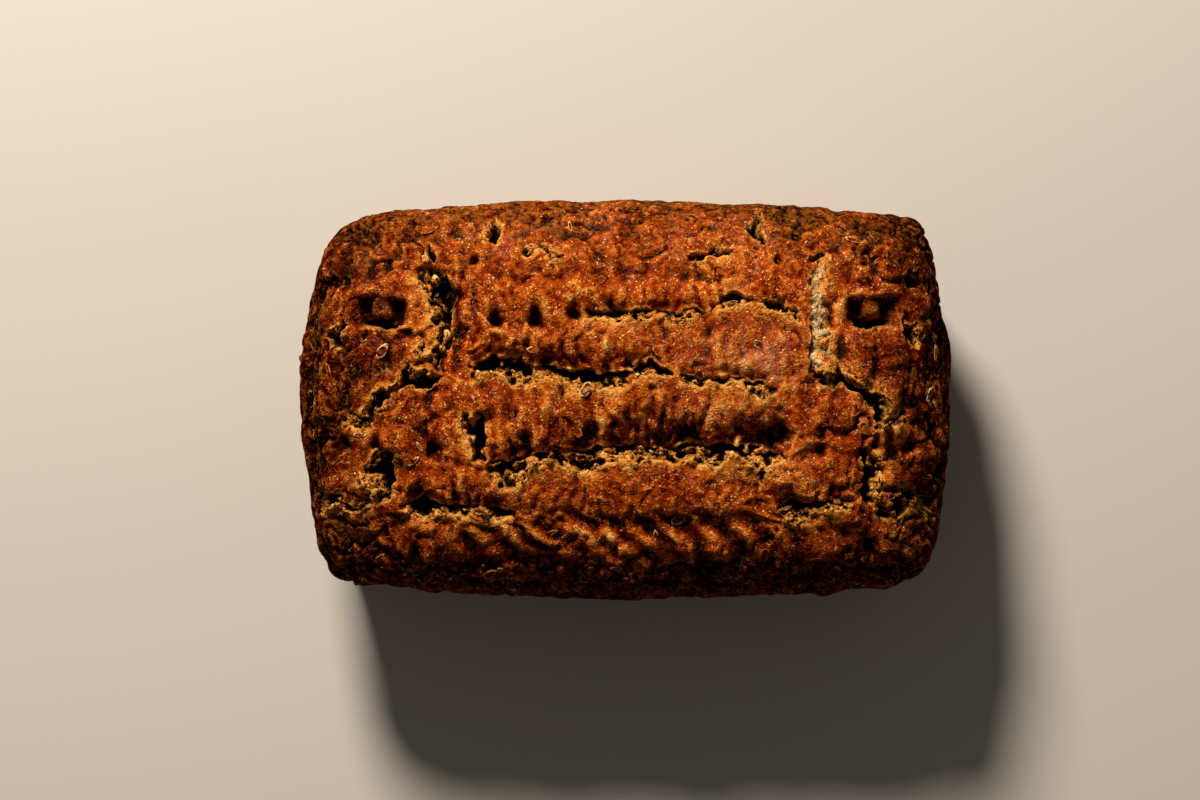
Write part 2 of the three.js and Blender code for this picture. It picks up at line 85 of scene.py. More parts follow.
def noise(points, size, seed):
    """Smooth noise from -1 to 1: hashes of a cell's eight corners, blended by 6t⁵ - 15t⁴ + 10t³."""
    scaled = points / size
    cell = np.floor(scaled).astype(np.int64)
    t = scaled - cell
    u, v, w = (t * t * t * (t * (t * 6 - 15) + 10)).T
    total = 0
    for di, wi in ((0, 1 - u), (1, u)):
        for dj, wj in ((0, 1 - v), (1, v)):
            for dk, wk in ((0, 1 - w), (1, w)):
                corner = hashed(cell[:, 0] + di, cell[:, 1] + dj, cell[:, 2] + dk, seed)
                total = total + corner * wi * wj * wk
    return 2 * total - 1


def cell_distance(points, size, seed):
    """Distance to the nearest of one jittered point in each cell, as a share of the cell."""
    scaled = points / size
    cell = np.floor(scaled).astype(np.int64)
    nearest = np.full(len(points), np.inf)
    for step in np.ndindex(3, 3, 3):
        i, j, k = (cell + np.array(step) - 1).T
        spot = [c + hashed(i, j, k, seed + n) for n, c in enumerate((i, j, k))]
        nearest = np.minimum(nearest, np.linalg.norm(np.stack(spot, 1) - scaled, axis=1))
    return nearest


def dome_points(a, b):
    """Points of the smooth dome for square coordinates a and b from -1 to 1.

    The square becomes a rounded rectangle: a and b are multiplied by max(|a|, |b|) over their
    p-norm. Its sides bow by a share of the other coordinate's square. With each shoulder's fall
    f = 1 - |t|^power, the height rises by the square root of f g / (f + g - f g).
    """
    reach = np.maximum(np.abs(a), np.abs(b))
    power = np.zeros_like(a)
    for (side_x, side_y), squareness in CORNERS.items():
        power[((a < 0) == (side_x < 0)) & ((b > 0) == (side_y > 0))] = squareness
    norm = (np.abs(a) ** power + np.abs(b) ** power) ** (1 / power)
    rounding = reach / np.maximum(norm, 1e-12)
    u = a * rounding
    v = b * rounding
    fall_x = 1 - np.abs(a) ** END_SHOULDER
    fall_y = 1 - np.abs(b) ** SIDE_SHOULDER
    rise = np.sqrt(fall_x * fall_y / np.maximum(fall_x + fall_y - fall_x * fall_y, 1e-9))
    x = LENGTH / 2 * u * (1 - END_BOW * v * v)
    y = WIDTH / 2 * v * (1 - SIDE_BOW * u * u)
    return np.stack([x, y, RIM_HEIGHT + (HEIGHT - RIM_HEIGHT) * rise], 1)


def even_stations(count, curve):
    """Values from -1 to 1 that cut a curve into equal lengths, by 2001 samples that crowd its ends."""
    samples = -np.cos(np.linspace(0, np.pi, 2001))
    steps = np.linalg.norm(np.diff(curve(samples), axis=0), axis=1)
    lengths = np.concatenate([[0], np.cumsum(steps)])
    return np.interp(np.linspace(0, lengths[-1], count + 1), lengths, samples)


def wall_points(rim, t):
    """The rim's points carried down the wall by a share t: in by the bulge, the taper and the foot."""
    z = RIM_HEIGHT * (1 - t)
    rise = min(z, FOOT_RADIUS)
    foot = FOOT_RADIUS - np.sqrt(FOOT_RADIUS**2 - (FOOT_RADIUS - rise) ** 2)
    inset = BULGE * smoothstep(RIM_HEIGHT, RIM_HEIGHT - BULGE_DROP, z) + WALL_TAPER * t + foot
    x = rim[:, 0] * (1 - inset / (LENGTH / 2))
    y = rim[:, 1] * (1 - inset / (WIDTH / 2))
    return np.stack([x, y, np.full(len(rim), z)], 1)


# Tears: path, half the opening's width, depth, width of the crumbly slope on the right of the
# path, how far the crust curls down on the left of it, and how much crumb bridges the opening.
MIDDLE_TEARS = [
    ([(-14, 29), (-4, 28.5), (8, 29.7), (18, 29), (27, 28.5)], 0.8, 7, 1.6, 3.4, 0.6),
    ([(29, 29.5), (33, 33.5), (42, 33.7), (52, 31.3), (58, 27)], 0.9, 7, 2, 2.6, 0.6),
    ([(-53, 11.5), (-45, 12.6), (-32, 10.5), (-25, 10.2), (-16, 8.7), (3, 8)], 1.4, 10, 4, 5.4, 0.4),
    ([(1, 8), (8, 11.2), (15, 7.5)], 0.7, 6, 1.4, 3, 0.5),
    ([(17, 7.8), (36, 6.8), (50, 3.5)], 0.4, 4, 2, 3.4, 0.8),
    ([(-48, -20), (-40, -22), (-26, -18.8), (-2, -17.3), (12, -16.4), (26, -16.2), (54, -19)],
     1.2, 9, 4, 7.5, 0.8),
    ([(-50.2, -3), (-50.4, -9), (-49.8, -15), (-49, -20)], 1.3, 9, 1, 3.4, 0.3),
    ([(-76, -35.5), (-62, -36.6), (-52, -36.8), (-37, -39.5)], 1.1, 7, 0.8, 4.6, 0.9),
    ([(49, -37.7), (59, -36.2), (75, -35)], 1.1, 7, 0.8, 4.6, 0.9),
    ([(-67, 45), (-64, 40), (-61, 35), (-60, 30), (-60, 24), (-61, 17), (-64, 11)], 1.7, 9, 4, 6, 0.95),
]
# An early tear that healed pale, and those at the left end, which the right end mirrors.
SCAR = ([(61.8, 8), (61.4, 20), (61.6, 32), (62.6, 46)], 0.3, 1.6, 4.8, 0.5, 1)
END_TEARS = [
    ([(-62, 9), (-68, 4.5), (-73, 5.5), (-82.5, 0), (-85, -5), (-85.5, -10)], 1.1, 7, 2, 2.4, 0.8),
    ([(-79, -16.5), (-81.5, -25), (-79.5, -30), (-83, -35.5)], 1.5, 8, 2.6, 3, 0.8),
    ([(-103, -39), (-99, -34), (-95.5, -32.5), (-90, -36.5), (-84, -35)], 1, 5.5, 1.2, 2, 0.8),
    ([(-45, 62), (-43, 58.5), (-43, 55), (-44.7, 51.5)], 0.8, 6, 1.2, 0.6, 0.3),
    ([(-36, 49), (-29, 50), (-20, 47)], 0.6, 3.6, 1.6, 1, 0.8),
    ([(-67, 51), (-62.5, 46.5)], 0.9, 4, 1.4, 0.8, 0.5),
    ([(-94, 25), (-98, 18)], 0.6, 3.4, 1.2, 1.2, 0.5),
    ([(-93, -5), (-88, -8), (-84.5, -8)], 0.7, 4, 1.4, 1.6, 0.8),
    ([(-90.5, 26), (-83, 25.4), (-75, 25.8)], 0.9, 8, 0.4, 0.3, 0),
]
TEARS = MIDDLE_TEARS + [SCAR] + END_TEARS
TEARS = TEARS + [([(-x, y) for x, y in path[::-1]], *sizes) for path, *sizes in END_TEARS]
CURL_REACH = 1.9  # a curl starts this many times its own drop away from the edge
TEAR_WANDER = 1.3  # how far a tear strays to each side
TEAR_WANDER_SIZE = 7.0  # from one stray to the next
TEAR_TAPER = 7  # a tear closes over one part in this many of its length, at each end
FRAY = 1.2  # finer straying that makes the edges ragged
FRAY_SIZE = 3.0
SPLINTER = 0.7  # the finest straying
SPLINTER_SIZE = 1.6

# Soft creases between the rolls: path, half width and depth.
CREASES = [
    ([(-44, -38.5), (-25, -40.5), (-5, -42), (12, -42), (30, -40.5), (54, -38)], 4.6, 1.7),
    ([(-40, 44), (-20, 42.5), (0, 44), (24, 42.5), (44, 44)], 4, 1),
    ([(36, -10.5), (46, -12), (57, -13)], 4, 2),
]

# Holes: middle, radius, length of the sloping back wall, and depth.
MIDDLE_HOLES = [
    (-43.7, 26.8, 2.4, 3.8, 7),
    (-30.1, 26.6, 2.5, 4, 7.5),
    (-17.2, 28.6, 2.4, 3.6, 5.5),
    (-4.6, 29, 1.8, 4, 6),
    (0.5, 11.5, 1.8, 2, 4),
    (-26.5, 13.6, 2.2, 1.8, 7),
    (-60.3, 34.5, 3.6, 4.4, 8),
    (51, -11.5, 3.2, 6, 3.6),
]
END_HOLES = [
    (-95.4, -15.6, 2.3, 3, 5),
    (-83.5, -15.6, 2, 3, 4.5),
    (-64.8, -17, 2.6, 3, 4.5),
    (-57, 55.5, 1.8, 2.5, 4.5),
    (-50.8, 47, 1.3, 1.6, 3.4),
    (-79.7, 45.6, 1.5, 2, 3),
]
HOLES = MIDDLE_HOLES + END_HOLES + [(-x, *rest) for x, *rest in END_HOLES]
HOLE_SHAPE = 1.7  # steepness of a hole's wall

POCKET_X, POCKET_Y = 82.7, 29.6  # a sunken pocket at each end
POCKET_HALF_LENGTH, POCKET_HALF_WIDTH, POCKET_DEPTH, POCKET_STEEP = 8.6, 4.6, 7, 6
LUMP_RISE, LUMP_HALF_LENGTH, LUMP_HALF_WIDTH, LUMP_BACK = 5.4, 3.9, 3.6, 1.2

# Slanted ruffles in front: from one to the next, their height, and their band's middle and reach
# along Y.
RUFFLE_PITCH, RUFFLE_RISE, RUFFLE_Y, RUFFLE_REACH = 11.0, 0.8, -46, 6

# Glazed spots with a painted rosy sheen, and spots painted darker, or paler above 0: middle, reach
# along X and Y, and strength.
GLAZE_SHEEN_SPOTS = [(40, 14, 20, 9, 1.3), (32, -6, 20, 7, 0.4)]
TONE_SPOTS = [(-32, 5, 12, 4, -0.5), (-58, -12, 7, 6, -0.4), (75, 17, 6, 10, -0.4), (46, 8, 12, 4, 0.5),
           (69.5, 28, 3.5, 11, 0.5)]


def along_path(path, x, y):
    """The points' distances to a path, positive on its left, how far along it, and its length."""
    best = np.full(len(x), np.inf)
    side = np.ones(len(x))
    at = np.zeros(len(x))
    total = 0.0
    for (x0, y0), (x1, y1) in zip(path[:-1], path[1:]):
        dx, dy = x1 - x0, y1 - y0
        length = np.hypot(dx, dy)
        t = np.clip(((x - x0) * dx + (y - y0) * dy) / length**2, 0, 1)
        away = np.hypot(x - x0 - t * dx, y - y0 - t * dy)
        closer = away < best
        best = np.where(closer, away, best)
        side = np.where(closer, np.where(dx * (y - y0) - dy * (x - x0) < 0, -1, 1), side)
        at = np.where(closer, total + t * length, at)
        total += length
    return best * side, at, total


def strayed(points, reach, size, seed):
    """The points' x and y, moved by up to reach by noise of a size."""
    return (points[:, 0] + reach * noise(points, size, seed),
            points[:, 1] + reach * noise(points, size, seed + 1))


def tear_fields(points):
    """How deep the tears go, and fields from 0 to 1 for what a point is.

    These are gap for the opening, which is painted black as its shade, crumb, lip for a golden edge,
    warm for the crust behind it, rolled for the curl, and pale for the healed scar. On the left of a path
    the crust curls down by roll (1 - distance/reach)^1.8 to a thin raised edge and drops into the
    opening. On the right the crumb climbs from it by (1 - distance/torn)^1.2 to a raised lip.
    Bars of crumb bridge the opening where noise along the path is high.
    """
    far_x, far_y = strayed(points, TEAR_WANDER, TEAR_WANDER_SIZE, 11)
    fray_x, fray_y = strayed(points, FRAY, FRAY_SIZE, 31)
    fine_x, fine_y = strayed(points, SPLINTER, SPLINTER_SIZE, 33)
    x = far_x + fray_x + fine_x - 2 * points[:, 0]
    y = far_y + fray_y + fine_y - 2 * points[:, 1]
    spread = noise(points, 9, 35)
    pinch = noise(points, 3.2, 37)
    opening = np.zeros(len(points))
    curl = np.zeros(len(points))
    fields = {name: np.zeros(len(points)) for name in ("gap", "crumb", "lip", "warm", "rolled", "pale")}

    def raise_field(name, values):
        fields[name] = np.maximum(fields[name], values)

    for path, half_gap, depth, torn, roll, knit in TEARS:
        away, at, total = along_path(path, x, y)
        share = at / total
        taper = np.sqrt(np.clip(share * TEAR_TAPER, 0, 1) * np.clip((1 - share) * TEAR_TAPER, 0, 1))
        width_noise = noise(np.stack([at, 0 * at, 0 * at], 1), 8, 15)
        half = half_gap * taper * np.maximum(0.95 + 0.6 * width_noise + 0.5 * pinch, 0.05)
        slope_width = torn * np.maximum(0.85 + 1.1 * spread + 0.3 * pinch, 0.1)
        bare = min(torn, 1)
        beyond = np.abs(away) - half
        past_slope = beyond - slope_width
        left = away >= 0
        inside = taper * smoothstep(0.35, -0.35, beyond)
        across = noise(np.stack([at, 0.45 * away, 0 * at], 1), 2.6, 36 + len(path))
        bridged = knit * smoothstep(0.05, 0.3, across)
        climb = 0.65 * np.clip(1 - beyond / slope_width, 0, 1) ** 1.2
        drop = np.where(left, smoothstep(0.6, -0.5, beyond), np.where(beyond < 0, 1, climb))
        drop = drop * (1 - 0.85 * bridged * inside)
        opening = np.maximum(opening, depth * taper * drop)
        reach = CURL_REACH * roll + 1
        thin = np.exp(-(((beyond - 0.45) / 0.5) ** 2))
        curled = roll * taper * np.clip(1 - np.maximum(beyond, 0) / reach, 0, 1) ** 1.8
        curled = curled - 0.6 * bare * taper * thin * (1 + 1.5 * pinch)
        lifted = -0.8 * bare * taper * np.exp(-((past_slope / 1.6) ** 2))
        curl = np.maximum(curl, np.where(left, curled, lifted))
        on_slope = taper * smoothstep(slope_width + 0.8, slope_width - 0.4, beyond) * ~left
        raise_field("gap", inside * (1 - bridged))
        raise_field("crumb", inside * bridged)
        raise_field("crumb", on_slope)
        wide = np.exp(-((past_slope / 1.2) ** 2))
        raise_field("lip", bare * taper * np.where(left, thin, wide))
        warmed = np.exp(-((np.maximum(past_slope, 0) / 4.5) ** 2))
        raise_field("warm", bare * taper * warmed * ~left)
        deep = np.clip(1 - np.maximum(beyond, 0) / (reach + 3), 0, 1) * min((roll / 8) ** 1.6, 1)
        raise_field("rolled", taper * deep * left)
        if path is SCAR[0]:
            raise_field("pale", on_slope)
    return opening + curl, fields


def crease_depth(points):
    """Depth of the nearest crease: depth e^-(distance/half width)², less towards its ends."""
    x, y = strayed(points, 2, 9, 65)
    depth = np.zeros(len(points))
    for path, half_width, deep in CREASES:
        away, at, total = along_path(path, x, y)
        taper = smoothstep(0, 0.2, at / total) * smoothstep(1, 0.8, at / total)
        depth = np.maximum(depth, deep * taper * np.exp(-((away / half_width) ** 2)))
    return depth


def hole_depth(points):
    """Depth of the nearest hole: depth e^(-(distance/radius)^shape), drawn out thinner at its back."""
    x, y = strayed(points, 0.5, 2.5, 61)
    depth = np.zeros(len(points))
    for hole_x, hole_y, radius, tail, deep in HOLES:
        dx = x - hole_x
        dy = y - hole_y
        thinner = 1 + 0.7 * np.clip(dy / tail, 0, 1)
        away = np.hypot(dx * thinner / radius, dy / np.where(dy > 0, tail, 0.8 * radius))
        depth = np.maximum(depth, deep * np.exp(-(away**HOLE_SHAPE)))
    return depth


def pocket_depth(points):
    """A boxy hollow e^(-(u^6 + v^6)), less a lump that stands in it, and how far a point is in it."""
    x, y = strayed(points, 0.6, 3, 63)
    dx = np.abs(x) - POCKET_X
    dy = y - POCKET_Y
    far = (dx / POCKET_HALF_LENGTH) ** POCKET_STEEP + (dy / POCKET_HALF_WIDTH) ** POCKET_STEEP
    lump = (dx / LUMP_HALF_LENGTH) ** 4 + ((dy - LUMP_BACK) / LUMP_HALF_WIDTH) ** 4
    return (POCKET_DEPTH - LUMP_RISE * np.exp(-lump)) * np.exp(-far), np.exp(-far / 2)


def crust_relief(points, rolled):
    """Broad swells, folds and nodules that are bolder at the ends and front, and pleats on the rolls.

    All of it fades to nothing at the pockets, so that their outlines stay straight.
    """
    x, y, z = points.T
    from_pocket_x = (np.abs(x) - POCKET_X) / (POCKET_HALF_LENGTH + 2)
    from_pocket_y = (y - POCKET_Y) / (POCKET_HALF_WIDTH + 2)
    ends = smoothstep(52, 72, np.abs(x))
    front = smoothstep(-40, -50, y)
    bold = np.maximum(ends, 0.7 * front)
    swell = 1.2 * noise(points, 21, 21) + 0.9 * noise(points, 10, 22)
    nodule = 0.5 - cell_distance(points, 8.5, 23) ** 2
    fold = np.abs(noise(np.stack([x, 0.7 * y, z], 1), 11, 25)) - 0.3
    pleat = noise(np.stack([x + 2.5 * noise(points, 9, 26), y / 3.4, 0 * z], 1), 4.2, 24)
    relief = swell + (0.3 + 1.3 * bold) * nodule + (0.6 + 2.6 * ends + 0.8 * front) * fold
    relief = relief + (0.4 + 1.6 * rolled) * (1 - bold) * pleat
    return relief * (1 - 0.85 * np.exp(-(from_pocket_x**4 + from_pocket_y**4)))


def fine_relief(points, crumb, rolled, cave):
    """What is too fine for the solid: folds, crevices, pleats, pebbles and pits of the skin.

    It is bolder at the ends, the front and the back. Where there is crumb, lumps and pores take
    its place, with caves between them.
    """
    x, y, z = points.T
    bold = np.maximum(smoothstep(50, 70, np.abs(x)), 0.6 * smoothstep(-38, -50, y))
    bold = np.maximum(bold, 0.6 * smoothstep(38, 50, y))
    turn = np.stack([noise(points, 9, 51), noise(points, 9, 52), noise(points, 9, 53)], 1)
    twisted = points + 3 * turn
    fold = np.abs(noise(twisted, 5.5, 47)) - 0.3
    broken = smoothstep(0, 0.35, noise(points, 13, 49) + 0.3 * bold)
    jagged = twisted + 1.3 * np.stack([noise(points, 2.6, 48), noise(points, 2.6, 59), 0 * z], 1)
    crevice = np.clip(1 - np.abs(noise(jagged, 9, 42)) / 0.14, 0, 1) * broken
    across = x + 3.5 * turn[:, 0] + 0.35 * y * smoothstep(-36, -44, y)
    pleat = np.abs(noise(np.stack([across, y / 4, 0 * z], 1), 4.2, 54)) - 0.3
    pit = np.clip(1 - cell_distance(points, 3.8, 43) / 0.3, 0, 1)
    pebble = np.abs(noise(twisted, 3.1, 55)) - 0.3
    skin = (0.6 + 0.5 * bold) * fold - (0.4 + 1.4 * bold) * crevice
    skin = skin + (0.9 * (1 - bold) + 3.2 * rolled) * pleat - 0.4 * pit
    skin = skin + (0.9 - 0.3 * bold) * pebble + 0.2 * noise(twisted, 1.9, 58)
    lumps = 1.9 * noise(points, 4.2, 57) + 0.9 * noise(points, 1.6, 46)
    pores = -1.2 * np.clip(1 - cell_distance(points, 2.4, 45) / 0.5, 0, 1)
    return skin * (1 - crumb) + (lumps + pores - 3.5 * cave + 0.9) * crumb


def ruffles(points):
    """From -1 to 1: sin(2π (x + y) / pitch) with a wander, in a band along the front."""
    x, y, _ = points.T
    wave = np.sin((x + y) * 2 * np.pi / RUFFLE_PITCH + 2.4 * noise(points, 14, 77))
    return wave * np.exp(-(((y - RUFFLE_Y) / RUFFLE_REACH) ** 2)) * smoothstep(66, 52, np.abs(x))


def browning(points, fields, ruffle):
    """Adds how dark each point baked or lies in painted shade, its stains and spots painted darker or
    paler, its glazed spots with a painted sheen, and warms the back to gold.

    The darkening grows down the dome. Painted shade darkens the ends and the front, which face
    away from the light, and painted light pales the back, which faces it. Stains are twisted
    noise, streaked where the crust is rolled and darker there as painted shade; the ruffles'
    crests are painted lighter and their troughs darker, as painted light and shade.
    """
    x, y, z = points.T
    # Painted shade: the ends, the left one a little more, and the front, which face away from the light,
    # are painted darker.
    shaded = 0.5 * smoothstep(64, 92, np.abs(x)) + 0.12 * smoothstep(-60, -80, x)
    shaded = shaded + 0.7 * smoothstep(-42, -58, y)
    # Painted light: the back, which faces the light, is painted paler.
    lit = 0.35 * smoothstep(10, 50, y)
    fields["bake"] = np.clip((smoothstep(74, 52, z) + shaded) * (1 - lit), 0, 1)
    turn = np.stack([noise(points, 8, 71), noise(points, 8, 72), noise(points, 8, 73)], 1)
    streak = noise(np.stack([x + 3 * turn[:, 0], y / 3.5, 0 * x], 1), 4.4, 74)
    stain = noise(points + 4 * turn, 9, 75) + 0.8 * noise(points + 3 * turn, 4.5, 76)
    back = smoothstep(36, 50, y) * smoothstep(110, 60, np.abs(x)) * fields["dome"]
    fields["warm"] = np.maximum(fields["warm"], 0.45 * back)
    # Painted shade on the rolled front slopes, and painted light and shade on the ruffles' crests and
    # troughs.
    streaked = fields["rolled"] * (1.2 * streak - 0.2)
    fields["stain"] = 0.5 + 0.3 * stain + streaked + 0.6 * ruffle - 0.4 * back
    fields["glaze"] = 0 * x
    # The glazed spots carry a painted sheen; the tone spots are painted darker or paler.
    for name, spots in (("glaze", GLAZE_SHEEN_SPOTS), ("stain", TONE_SPOTS)):
        for spot_x, spot_y, reach_x, reach_y, strength in spots:
            spot = np.exp(-(((x - spot_x) / reach_x) ** 2) - ((y - spot_y) / reach_y) ** 2)
            fields[name] = fields[name] + strength * spot


def stand_out(points):
    """How far the crust stands out of the smooth loaf at each point, and the fields that colour it."""
    z = points[:, 2]
    on_dome = smoothstep(RIM_HEIGHT - 3, RIM_HEIGHT + 6, z)
    depth, fields = tear_fields(points)
    holes = hole_depth(points)
    pockets, in_pocket = pocket_depth(points)
    sunk = on_dome * (depth + holes + pockets + crease_depth(points))
    wall = 0.25 + 0.2 * smoothstep(RIM_HEIGHT - BULGE_DROP, RIM_HEIGHT, z)
    share = wall + (1 - wall) * smoothstep(RIM_HEIGHT, RIM_HEIGHT + 14, z)
    share = share * smoothstep(0, FOOT_RADIUS, z)
    rolled = fields["rolled"] * on_dome
    cave = smoothstep(0.5, 0.25, cell_distance(points, 3.6, 56))
    lumpy = fields["crumb"] * on_dome * (1 - 0.55 * fields["pale"])
    ruffle = ruffles(points)
    relief = crust_relief(points, rolled) + fine_relief(points, lumpy, rolled, cave)
    relief = relief + RUFFLE_RISE * ruffle
    # Painted shade: deep holes and the caves in the crumb are painted black with the gap, and the pockets
    # dark.
    fields["gap"] = np.maximum(fields["gap"], smoothstep(4.2, 6.6, holes))
    fields["gap"] = np.maximum(fields["gap"], 0.9 * cave * fields["crumb"] * (1 - fields["pale"]))
    fields["pocket"] = np.maximum(smoothstep(2, 5.5, pockets), 0.55 * in_pocket)
    fields = {name: values * on_dome for name, values in fields.items()}
    fields["dome"] = on_dome
    browning(points, fields, ruffle)
    return share * relief - sunk, fields


# The mesh's cells: along and across the dome, and rows down the wall below its first, wider row.
CELLS_X, CELLS_Y, WALL_ROWS = 344, 224, 30
COLUMNS = CELLS_X + 1
COARSE_X, COARSE_Y = 76, 50  # cells of the coarse grid that is drawn towards the tears first
PULL, PULL_REACH = 2.0, 3.5  # how much finer the mesh gets at a tear, and over how many mm


def relaxed(grid, place, rounds, renew):
    """A grid of station numbers whose inner ones move to their four neighbours' weighted mean.

    A weight is 1 + pull e^-(distance/reach)², by the distance to the nearest tear or hole, so the
    cells end up smallest there. The weights are measured again every few rounds.
    """
    for count in range(rounds):
        if count % renew == 0:
            x, y, _ = place(grid.reshape(-1, 2)).T
            nearest = np.full(len(x), np.inf)
            for path, *_ in TEARS:
                nearest = np.minimum(nearest, np.abs(along_path(path, x, y)[0]))
            for hole_x, hole_y, *_ in HOLES:
                nearest = np.minimum(nearest, np.hypot(x - hole_x, y - hole_y))
            pull = (1 + PULL * np.exp(-((nearest / PULL_REACH) ** 2))).reshape(grid.shape[:2])
        middle = pull[1:-1, 1:-1]
        total = 0
        weights = 0
        for rows, columns in ((slice(1, -1), slice(0, -2)), (slice(1, -1), slice(2, None)),
                              (slice(0, -2), slice(1, -1)), (slice(2, None), slice(1, -1))):
            weight = middle + pull[rows, columns]
            total = total + weight[..., None] * grid[rows, columns]
            weights = weights + weight
        grid = grid.copy()
        grid[1:-1, 1:-1] = total / weights[..., None]
    return grid


def dome_grid():
    """The dome's points: a coarse grid relaxed first, then laid out finely between its lines."""
    def curve_x(a):
        return dome_points(a, 0 * a)

    def curve_y(b):
        return dome_points(0 * b, b)

    stations_x = even_stations(COARSE_X, curve_x)
    stations_y = even_stations(COARSE_Y, curve_y)

    def place(numbers):
        a = np.interp(numbers[:, 0], np.arange(COARSE_X + 1), stations_x)
        b = np.interp(numbers[:, 1], np.arange(COARSE_Y + 1), stations_y)
        return dome_points(a, b)

    coarse = np.stack(np.meshgrid(np.arange(COARSE_X + 1.0), np.arange(COARSE_Y + 1.0)), 2)
    coarse = relaxed(coarse, place, rounds=90, renew=6)
    s, t = np.meshgrid(np.linspace(0, COARSE_X, CELLS_X + 1), np.linspace(0, COARSE_Y, CELLS_Y + 1))
    i = np.minimum(s.astype(int), COARSE_X - 1)
    j = np.minimum(t.astype(int), COARSE_Y - 1)
    u = (s - i)[..., None]
    v = (t - j)[..., None]
    near = coarse[j, i] * (1 - u) + coarse[j, i + 1] * u
    far = coarse[j + 1, i] * (1 - u) + coarse[j + 1, i + 1] * u
    fine_x = even_stations(CELLS_X, curve_x)
    fine_y = even_stations(CELLS_Y, curve_y)

    def place_fine(numbers):
        a = np.interp(numbers[:, 0] * CELLS_X / COARSE_X, np.arange(CELLS_X + 1), fine_x)
        b = np.interp(numbers[:, 1] * CELLS_Y / COARSE_Y, np.arange(CELLS_Y + 1), fine_y)
        return dome_points(a, b)

    fine = relaxed(near * (1 - v) + far * v, place_fine, rounds=16, renew=16)
    return place_fine(fine.reshape(-1, 2))


def rim_ring():
    """The numbers of the dome's edge points, in order round the loaf."""
    last = CELLS_Y * COLUMNS
    front = np.arange(CELLS_X)
    right = np.arange(CELLS_Y) * COLUMNS + CELLS_X
    back = last + np.arange(CELLS_X, 0, -1)
    left = np.arange(CELLS_Y, 0, -1) * COLUMNS
    return np.concatenate([front, right, back, left])


def smooth_points():
    """The smooth loaf: the dome, rows of wall with half as many points, and the base's middle."""
    dome = dome_grid()
    rim = dome[rim_ring()[::2]]
    shares = np.linspace(0, 1, WALL_ROWS + 1)[1:]
    rows = [wall_points(rim, t) for t in shares]
    return np.concatenate([dome, *rows, [[0, 0, 0]]])


def cell_triangles(points, p, q, r, s):
    """Two triangles for each cell p q r s, split along its shorter diagonal."""
    first = np.linalg.norm(points[p] - points[r], axis=1) < np.linalg.norm(points[q] - points[s], axis=1)
    first = first[:, None]
    one = np.where(first, np.stack([p, q, r], 1), np.stack([q, r, s], 1))
    two = np.where(first, np.stack([p, r, s], 1), np.stack([q, s, p], 1))
    return np.concatenate([one, two])


def loaf_triangles(points):
    """All the loaf's triangles: the dome's cells, the row that halves their number, walls and base."""
    j, i = np.meshgrid(np.arange(CELLS_Y), np.arange(CELLS_X), indexing="ij")
    n = (j * COLUMNS + i).ravel()
    dome = cell_triangles(points, n, n + 1, n + COLUMNS + 1, n + COLUMNS)
    ring = rim_ring()
    even, odd, after = ring[::2], ring[1::2], np.roll(ring[::2], -1)
    count = len(even)
    first = COLUMNS * (CELLS_Y + 1)
    below = first + np.arange(count)
    below_after = first + (np.arange(count) + 1) % count
    halving = [(even, below, odd), (odd, below, below_after), (odd, below_after, after)]
    parts = [dome, *(np.stack(corners, 1) for corners in halving)]
    for _ in range(WALL_ROWS - 1):
        above = below
        above_after = below_after
        below = above + count
        below_after = above_after + count
        parts.append(cell_triangles(points, above, below, below_after, above_after))
    middle = np.full(count, len(points) - 1)
    parts.append(np.stack([below, middle, below_after], 1))
    return np.concatenate(parts)


def point_normals(points, triangles):
    """Unit normals at the points: the sum of the normals of the faces round each, by their area."""
    p, q, r = (points[triangles[:, n]] for n in range(3))
    across = np.cross(q - p, r - p)
    normals = np.zeros_like(points)
    for axis in range(3):
        for corner in range(3):
            normals[:, axis] += np.bincount(triangles[:, corner], across[:, axis], len(points))
    return normals / np.maximum(np.linalg.norm(normals, axis=1), 1e-12)[:, None]


def blurred(values, triangles, rounds):
    """Values on the mesh's points, each replaced by its neighbours' mean in every round."""
    ends = np.concatenate([triangles[:, [0, 1]], triangles[:, [1, 2]], triangles[:, [2, 0]]])
    share = np.bincount(ends[:, 0], minlength=len(values))
    for _ in range(rounds):
        values = np.bincount(ends[:, 0], values[ends[:, 1]], len(values)) / share
    return values


def mesh_object(name, points, triangles, fields, material):
    """A smooth-shaded object of one mesh, in metres, with a float attribute for each field."""
    mesh = bpy.data.meshes.new(name)
    mesh.vertices.add(len(points))
    mesh.vertices.foreach_set("co", (points / 1000).astype(np.float32).ravel())
    mesh.loops.add(triangles.size)
    mesh.loops.foreach_set("vertex_index", triangles.astype(np.int32).ravel())
    mesh.polygons.add(len(triangles))
    mesh.polygons.foreach_set("loop_start", np.arange(0, triangles.size, 3, dtype=np.int32))
    mesh.polygons.foreach_set("use_smooth", np.ones(len(triangles), bool))
    mesh.update(calc_edges=True)
    for field, values in fields.items():
        attribute = mesh.attributes.new(field, "FLOAT", "POINT")
        attribute.data.foreach_set("value", values.astype(np.float32))
    mesh.materials.append(material)
    made = bpy.data.objects.new(name, mesh)
    bpy.context.scene.collection.objects.link(made)
    return made


smooth = smooth_points()
smooth_normals = point_normals(smooth, loaf_triangles(smooth))
out, crust_fields = stand_out(smooth)
crust_points = smooth + out[:, None] * smooth_normals
crust_points[:, 2] = np.maximum(crust_points[:, 2], 0)
low, high = crust_points.min(0), crust_points.max(0)
centre = np.array([(low[0] + high[0]) / 2, (low[1] + high[1]) / 2, low[2]])
crust_points -= centre
crust_triangles = loaf_triangles(crust_points)

# How high each point stands over its near and its wider surroundings, with 0.5 for level: the
# rounds of blurring, and the height from the lowest to the highest share.
# The colours paint light onto the high points and shade into the low ones by these two fields.
for field, rounds, height in (("peak", 8, 1.2), ("ridge", 110, 5)):
    above = out - blurred(out, crust_triangles, rounds)
    crust_fields[field] = np.clip(0.5 + above / height, 0, 1)


